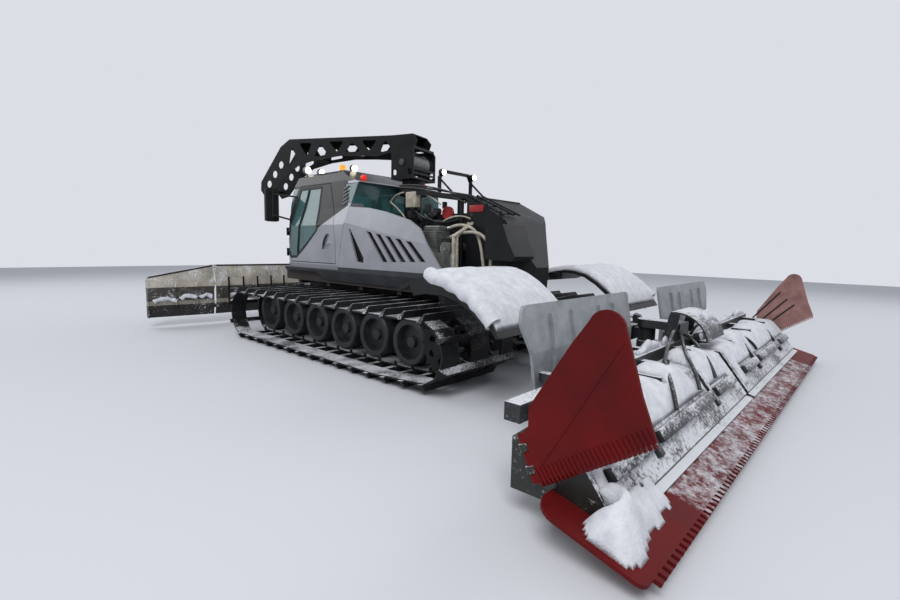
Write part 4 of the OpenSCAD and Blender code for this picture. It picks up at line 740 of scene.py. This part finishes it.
finishPiece(makeCooler(coolerSpec), "oil_cooler", "machine", "castAlu")
alternator = {"middle": (913, 1504, 1620), "ring": 58, "studs": 10, "stud": (5, 8, 8)}
parts = [makeDisc((880, 1500, 1620), 88, 60, (1, 0.1, 0), inset=14),
         makeDisc((912, 1504, 1620), 34, 26, (1, 0.1, 0), inset=8)]
for i in range(alternator["studs"]):
    angle = i * math.tau / alternator["studs"]
    stud = Vector(alternator["middle"]) + alternator["ring"] * Vector((0, math.cos(angle), math.sin(angle)))
    parts.append(makeBlock(stud - Vector(alternator["stud"]), stud + Vector(alternator["stud"]), 2, 1))
finishPiece(parts, "alternator", "machine", "castAlu")
finishPiece(makeBlock((850, 1440, 1010), (868, 1700, 1560), 6), "alternator_plate", "machine",
            "galvanised")
finishPiece(makeBlock((520, 400, 2215), (640, 620, 2455), 22, 3), "filter_box", "machine",
            "hose")
finishPiece(makeDisc((470, 1140, 2130), 92, 40, (1, 0.2, 0), inset=16), "fan_hub_disc", "machine",
            "redEnamel")
finishPiece(makeBlock((640, 1690, 2110), (652, 1930, 2200), 5), "cover_side_plate", "machine",
            "redEnamel")
rails = [makeTube([(600, 1640, 2330), (600, 2230, 2060)], 14, smooth=False),
         makeTube([(430, 1640, 2350), (430, 2260, 2070)], 14, smooth=False),
         makeTube([(300, 1640, 2350), (300, 2270, 2070)], 12, smooth=False)]
for y in (1700, 1950, 2180):
    z = 2330 - (y - 1640) * 0.458  # the rails' own fall
    rails.append(makeTube([(620, y, z), (280, y, z + 8)], 11, smooth=False))
    rails.append(makeTube([(600, y, z - 60), (600, y, z + 34)], 17, sides=1, smooth=False))
finishPiece(rails, "cover_rails", "machine", "black")

fittings = {"count": 26, "x": (380, 600), "y": (360, 1500), "z": (1750, 2260), "size": (20, 70)}


def makeFittings(spec):
    # every third one is a turned housing, and the others are blocks
    lumps = []
    generator = random.Random(9)
    for i in range(spec["count"]):
        x, y, z = (generator.uniform(*spec[axis]) for axis in "xyz")
        w, d, h = (generator.uniform(*spec["size"]) for k in range(3))
        if i % 3 == 0:
            axis = (1, generator.uniform(-0.3, 0.3), 0)
            lumps.append(makeDisc((x, y, z), 20 + d / 2, 40 + w, axis, vertices=20, inset=6))
        else:
            lumps.append(makeBlock((x - w, y - d, z - h), (x + w * 0.6, y + d, z + h), 6, 1))
    return lumps


finishPiece(makeFittings(fittings), "engine_fittings", "machine", "engine")
print("engine bay dressed")

# Cab: mesh behind the louvres, and the seats

louvreSpec = {"corners": [(1088, -400, 1360), (1088, 1340, 1360), (1076, -400, 1905), (1080, 1010, 1730)],
              "thick": 6, "cuts": 22, "rim": 9, "sink": 8}


def makeLouvreScreen(spec):
    deselectAll()
    bpy.ops.mesh.primitive_plane_add(size=1)
    screen = bpy.context.object
    for vert, spot in zip(screen.data.vertices, spec["corners"]):
        vert.co = place(*spot)
    editWhole(screen)
    bpy.ops.mesh.subdivide(number_cuts=spec["cuts"])
    bpy.ops.mesh.inset(thickness=spec["rim"] / 1000, depth=-spec["sink"] / 1000, use_individual=True)
    bpy.ops.object.mode_set(mode="OBJECT")
    return thicken(screen, spec["thick"])


finishPair(makeLouvreScreen(louvreSpec), "louvre_screen", ("machine", "machine"), "plastic")


def makeCushion(low, high, crown):
    # a crowned pad: its two wide faces swell and its corners stay in
    pad = makeBox(low, high)
    editWhole(pad)
    bpy.ops.mesh.bevel(offset=0.035, segments=3)
    bpy.ops.mesh.subdivide(number_cuts=2)
    bpy.ops.object.mode_set(mode="OBJECT")
    a, b = place(*low), place(*high)
    middle, half = (a + b) / 2, (b - a) / 2
    thin, long = (2, 1) if half.z < half.y else (1, 2)
    for vert in pad.data.vertices:
        u = [(vert.co[i] - middle[i]) / half[i] for i in range(3)]
        swell = crown / 1000 * (1 - min(1, u[0] * u[0])) * (1 - min(1, u[long] * u[long]))
        vert.co[thin] += swell * (1 if u[thin] > 0 else -1)
    return pad


seatSpec = {"driver": 280, "passenger": -420, "lean": 12}
for word in ("driver", "passenger"):
    x = seatSpec[word]
    seat = makeCushion((x - 262, -1632, 1230), (x + 262, -1068, 1394), 26)
    finishPiece(seat, word + "_seat_cushion", "machine", "cloth", 60.0)
    back = makeCushion((x - 250, -1226, 1330), (x + 250, -1072, 2000), 22)
    editWhole(back)
    bpy.ops.transform.rotate(value=math.radians(seatSpec["lean"]), orient_axis="X",
                             center_override=place(x, -1080, 1330))
    bpy.ops.object.mode_set(mode="OBJECT")
    finishPiece(back, word + "_seat_back", "machine", "cloth", 60.0)
print("cab dressed")

# Tiller: hydraulic hoses over the hoods with their clips, and the hoods' bolts

tillerHoses = [
    [(250, 4300, 700), (300, 4330, 830), (460, 4400, 830), (650, 4480, 740), (860, 4580, 680),
     (1040, 4680, 640), (1150, 4760, 560), (1200, 4800, 470)],
    [(280, 4300, 700), (420, 4340, 880), (760, 4400, 820), (1100, 4470, 720), (1400, 4560, 690),
     (1640, 4680, 640), (1780, 4770, 540), (1840, 4810, 450)],
    [(-250, 4300, 700), (-320, 4330, 840), (-560, 4400, 800), (-840, 4500, 700), (-1060, 4640, 650),
     (-1180, 4760, 560), (-1220, 4800, 470)],
    [(200, 4300, 700), (240, 4330, 800), (330, 4480, 760), (520, 4620, 670), (640, 4740, 590),
     (680, 4800, 470)],
]
finishPiece([makeTube(p, 17) for p in tillerHoses], "tiller_hoses", "tiller", "blackHose",
            60.0)
boltAt = (300, 560, 820, 1120, 1500, 1900, 2280, 2560, 2800, 3060)
bolts = [makeDisc((side * x, 4830, 404), 15, 16, (0, 0.8, 0.62), vertices=6, inset=3)
         for side in (-1, 1) for x in boltAt]
finishPiece(bolts, "bar_bolts", "tiller", "zinc")
clips = [makeBlock((x - 22, 4520, 640), (x + 22, 4570, 706), 6) for x in (700, 1320)]
finishPiece(clips, "hose_clips", "tiller", "plastic")

# Bars across the hoods' rear slopes, in enamel that shows under the snow

slopeAngle = math.atan2(hoodSlope["top"] - hoodSlope["foot"], (hoodSlope["rear"] - hoodSlope["bend"]) / 1000)


def slopeBlock(low, high, bevel):
    # a block set on the rear slope: x, distance down the slope, height off it
    block = makeBlock(low, high, bevel)
    fall, lift = math.cos(slopeAngle), math.sin(slopeAngle)
    for vert in block.data.vertices:
        x, down, off = vert.co.x, vert.co.y - datumY, vert.co.z
        vert.co = Vector((x, hoodSlope["bend"] / 1000 + datumY + down * fall + off * lift,
                          hoodSlope["top"] - down * lift + off * fall))
    return block


slopeBars = [slopeBlock((min(side * x, side * far), 232, 0), (max(side * x, side * far), 318, 66), 9)
             for side in (1, -1) for x, far in ((257, 903), (1047, 2353), (2497, 3123))]
finishPiece(slopeBars, "slope_bars", "tiller", "beam")
slopeRibs = [slopeBlock((side * x - 34, 56, 0), (side * x + 34, 384, 38), 6)
             for side in (1, -1) for x in (960, 2420)]
finishPiece(slopeRibs, "slope_ribs", "tiller", "beam")

# Ribs on the right side finisher's inner face: each runs between two points of y and z
finRibs = {"x": -3290, "radius": 11, "from": 0.12, "to": 0.95,
           "lines": [((4179, 352), (4746, 1088)), ((4254, 312), (4843, 987)), ((4328, 273), (4938, 904))]}


def makeFinRibs(spec):
    return [makeTube([(spec["x"], y0 + along * (y1 - y0), z0 + along * (z1 - z0))
                      for along in (spec["from"], spec["to"])], spec["radius"], smooth=False)
            for (y0, z0), (y1, z1) in spec["lines"]]


finishPiece(makeFinRibs(finRibs), "fin_ribs_right", "side_r", "plastic")
print("tiller dressed")

# Cab skin: how far out its side lies, by height and by place along the cab

cabSection = [(1000, 1135), (1300, 1150), (1960, 1120), (2235, 1030), (2690, 905), (2840, 850), (2905, 720)]
cabNose = [(-2460, 760), (-2330, 1010), (-2080, 1200)]


def between(table, value):
    if value <= table[0][0]:
        return table[0][1]
    for (a, fa), (b, fb) in zip(table, table[1:]):
        if value <= b:
            return fa + (fb - fa) * (value - a) / (b - a)
    return table[-1][1]


def onSkin(y, z, off):
    return min(between(cabSection, z), between(cabNose, y)) + off, y, z


windowFrame = {"outline": [(-2190, 1560), (-2075, 1425), (-1890, 1440), (-1300, 1880), (-1430, 2600),
                           (-2080, 2600)], "grow": 46, "cuts": 6, "thick": 4, "off": 1.5}


def makeWindowFrame(spec):
    # a moulded rubber frame that follows the door's glass
    outline = [Vector(corner) for corner in spec["outline"]]
    middle = sum(outline, Vector((0, 0))) / len(outline)
    shape = bmesh.new()
    rings = []
    for corner, following in zip(outline, outline[1:] + outline[:1]):
        for k in range(spec["cuts"]):
            spot = corner + (following - corner) * k / spec["cuts"]
            away = (spot - middle).normalized() * spec["grow"]
            rings.append([shape.verts.new(place(*onSkin(*p, spec["off"]))) for p in (spot, spot + away)])
    for ring, following in zip(rings, rings[1:] + rings[:1]):
        shape.faces.new((ring[0], ring[1], following[1], following[0]))
    bmesh.ops.recalc_face_normals(shape, faces=shape.faces[:])
    mesh = bpy.data.meshes.new("window_frame")
    shape.to_mesh(mesh)
    shape.free()
    return thicken(newObject("window_frame", mesh), spec["thick"], 0)


doors = ("door_l", "door_r")
finishPair(makeWindowFrame(windowFrame), "window_frame", doors, "plastic")
finishPair(makeTube([(1142, -1060, 1600), (1166, -1040, 1640), (1162, -990, 1760), (1132, -965, 1800)], 11),
           "door_handle", doors, "plastic")
# slats of the vents in the black pillar, rising to the front
vents = {"count": 5, "y": -610, "z": 2310, "stepY": -18, "stepZ": 62, "half": 55, "rise": 26, "off": 4,
         "radius": 11}
slats = []
for i in range(vents["count"]):
    y, z = vents["y"] + i * vents["stepY"], vents["z"] + i * vents["stepZ"]
    spots = [onSkin(y + k * vents["half"], z + k * vents["rise"], vents["off"]) for k in (-1, 0, 1)]
    slats.append(makeTube(spots, vents["radius"], sides=2, smooth=False))
finishPair(slats, "pillar_vents", ("machine", "machine"), "castAlu")
# the sliding window's bar, drawn wider than the bar itself so that it also covers its shadow: partly painted
# shade
windowBarWithShade = [(-1800, 2590), (-1815, 2235), (-1840, 1960), (-1870, 1470)]
finishPair(makeTube([onSkin(y, z, 2) for y, z in windowBarWithShade], 14, sides=2, smooth=False), "window_bar_with_shade", doors,
           "plastic")
finishPair(makeDisc(onSkin(-880, 1700, 3), 92, 9, (1, 0, 0.08), vertices=3, inset=14), "handle_plate", doors,
           "zinc")

# Blade: dark strips on the ribs' back edges as painted shade of the ribs, dark rail along its top and its
# wings' tops, and snow caught between the ribs

bladeSpec = {"top": 1190, "hinge": 1714, "tip": 2866, "tipTop": 970, "ribPitch": 300, "back": -3926,
             "railRadius": 13, "snowAt": 560, "snowRadius": 40, "snowLumps": 0.026, "snowPitch": 11}


def behind(name, x, z):
    # where a ray from behind meets the blade
    hit, spot, normal, index = nodes[name].ray_cast(Vector((x / 1000, -2.0, z / 1000)), Vector((0, -1, 0)))
    return (spot.y - datumY) * 1000 if hit else bladeSpec["back"]


def bladeTop(x):
    # the wing's top edge falls to its tip
    along = max(0.0, (x - bladeSpec["hinge"]) / (bladeSpec["tip"] - bladeSpec["hinge"]))
    return bladeSpec["top"] + (bladeSpec["tipTop"] - bladeSpec["top"]) * along


def makeTopRail(name, xs):
    return makeTube([(x, behind(name, x, bladeTop(x) - 34) + 3, bladeTop(x) - 16) for x in xs],
                    bladeSpec["railRadius"], smooth=False)


def makePocketSnow(name, spans):
    parts = []
    for x0, x1 in spans:
        z = bladeSpec["snowAt"] + 26 * math.sin(x0 * 2.1)
        spots = [(x0, -40), (x0 + 0.2 * (x1 - x0), -6), ((x0 + x1) / 2, 16), (x0 + 0.8 * (x1 - x0), -8),
                 (x1, -44)]
        parts.append(makeTube([(x, behind(name, x, z) + 6, z + dz) for x, dz in spots],
                              bladeSpec["snowRadius"]))
    shifts = ((0, 0, 0), (5, 0, 0), (0, 5, 0))
    return crumble(joinAll(parts), bladeSpec["snowLumps"], bladeSpec["snowPitch"], shifts)


ribAt = [i * bladeSpec["ribPitch"] for i in range(-5, 6) if i]
# dark strips on the ribs' back edges: painted shade for the ribs' shadowed sides
ribShadeStrips = [makeBlock((x - 15, bladeSpec["back"] - 18, 440), (x + 15, bladeSpec["back"] + 4, 944), 3)
            for x in ribAt]
finishPiece(ribShadeStrips, "blade_rib_shade_strips", "front_blade", "black")
finishPiece(makeTopRail("blade", [i * 208 for i in range(-8, 9)]), "blade_top_rail", "front_blade",
            "black")
pockets = [(x + 22, x + bladeSpec["ribPitch"] - 22) for x in ribAt if x not in (-300, 1500)]
finishPiece(makePocketSnow("blade", pockets), "blade_rib_snow", "front_blade", "snow", 180.0)
wings = ("wing_l", "wing_r")
finishPair(makeTopRail("blade_wing_left", [1750, 1950, 2150, 2350, 2550, 2750, 2850]), "wing_top_rail",
           wings, "black")
finishPair(makePocketSnow("blade_wing_left", [(1790, 2010), (2080, 2350), (2420, 2790)]), "wing_rib_snow",
           wings, "snow", 180.0)
print("blade dressed")

# Stage and camera

floorSpec = {"size": 60.0, "below": 0.002, "colour": "#d4d7dd"}


def makeFloor(spec):
    deselectAll()
    bpy.ops.mesh.primitive_plane_add(size=spec["size"], location=(0, 0, -spec["below"]))
    floor = bpy.context.object
    floor.name = "studio_floor"
    material, tree = newMaterial("matt_studio_floor")
    shader = addNode(tree, "ShaderNodeBsdfPrincipled", {
        "Base Color": hexToLinear(spec["colour"]), "Roughness": 0.9})
    addNode(tree, "ShaderNodeOutputMaterial", links={"Surface": shader.outputs[0]})
    floor.data.materials.append(material)


makeFloor(floorSpec)

# the photo's camera: place in metres, angles in degrees, focal length in the photo's pixels
cameraSpec = {"place": (5.60, 5.457, 1.64), "yaw": -137.7, "pitch": -6.36, "roll": 1.22, "focal": 475.7,
              "frameWidth": 900, "sensor": 36.0}


def makeCamera(spec):
    yaw, pitch, roll = (math.radians(spec[k]) for k in ("yaw", "pitch", "roll"))
    ahead = Vector((math.cos(pitch) * math.cos(yaw), math.cos(pitch) * math.sin(yaw), math.sin(pitch)))
    right = ahead.cross(Vector((0, 0, 1))).normalized()
    top = right.cross(ahead)
    turnedRight = math.cos(roll) * right + math.sin(roll) * top
    turnedTop = -math.sin(roll) * right + math.cos(roll) * top
    data = bpy.data.cameras.new("photo_camera")
    data.sensor_width = spec["sensor"]
    data.lens = spec["sensor"] * spec["focal"] / spec["frameWidth"]
    data.clip_end = 200.0
    camera = newObject("photo_camera", data)
    rows = [(turnedRight[i], turnedTop[i], -ahead[i], spec["place"][i]) for i in range(3)]
    camera.matrix_world = Matrix(rows + [(0, 0, 0, 1)])
    bpy.context.scene.camera = camera


makeCamera(cameraSpec)

lampSpecs = [
    {"name": "key_softbox", "place": (12.0, 9.0, 15.0), "aim": (0, 0, 0.8), "size": 9.0, "power": 1900.0},
    {"name": "fill_softbox", "place": (-13.0, 8.0, 12.0), "aim": (0, 0, 1.0), "size": 12.0, "power": 700.0},
    {"name": "front_softbox", "place": (5.0, -14.0, 12.0), "aim": (0, 0, 1.0), "size": 12.0, "power": 800.0},
]
for spec in lampSpecs:
    data = bpy.data.lights.new(spec["name"], "AREA")
    data.energy = spec["power"]
    data.size = spec["size"]
    lamp = newObject(spec["name"], data)
    lamp.location = spec["place"]
    lamp.rotation_euler = (Vector(spec["aim"]) - Vector(spec["place"])).to_track_quat("-Z", "Y").to_euler()

# camera, glossy and transmission rays see a pale sky, and what lights the machine is softer
skySpec = {"light": "#e9ebf1", "lightStrength": 0.5, "seen": "#dcdee6", "seenStrength": 1.0}
world = bpy.data.worlds.new("studio_world")
bpy.context.scene.world = world
world.use_nodes = True
worldTree = world.node_tree
worldTree.nodes.clear()
dimSky = addNode(worldTree, "ShaderNodeBackground", {
    "Color": hexToLinear(skySpec["light"]), "Strength": skySpec["lightStrength"]})
paleSky = addNode(worldTree, "ShaderNodeBackground", {
    "Color": hexToLinear(skySpec["seen"]), "Strength": skySpec["seenStrength"]})
rays = addNode(worldTree, "ShaderNodeLightPath").outputs
through = addNode(worldTree, "ShaderNodeMath", links={
    0: rays["Is Glossy Ray"], 1: rays["Is Transmission Ray"]}, operation="ADD")
seen = addNode(worldTree, "ShaderNodeMath", links={0: rays["Is Camera Ray"], 1: through.outputs[0]},
               operation="ADD", use_clamp=True)
sky = addNode(worldTree, "ShaderNodeMixShader", links={
    0: seen.outputs[0], 1: dimSky.outputs[0], 2: paleSky.outputs[0]})
addNode(worldTree, "ShaderNodeOutputWorld", links={"Surface": sky.outputs[0]})
bpy.context.scene.view_settings.view_transform = "Standard"
print("stage, camera and lamps set")
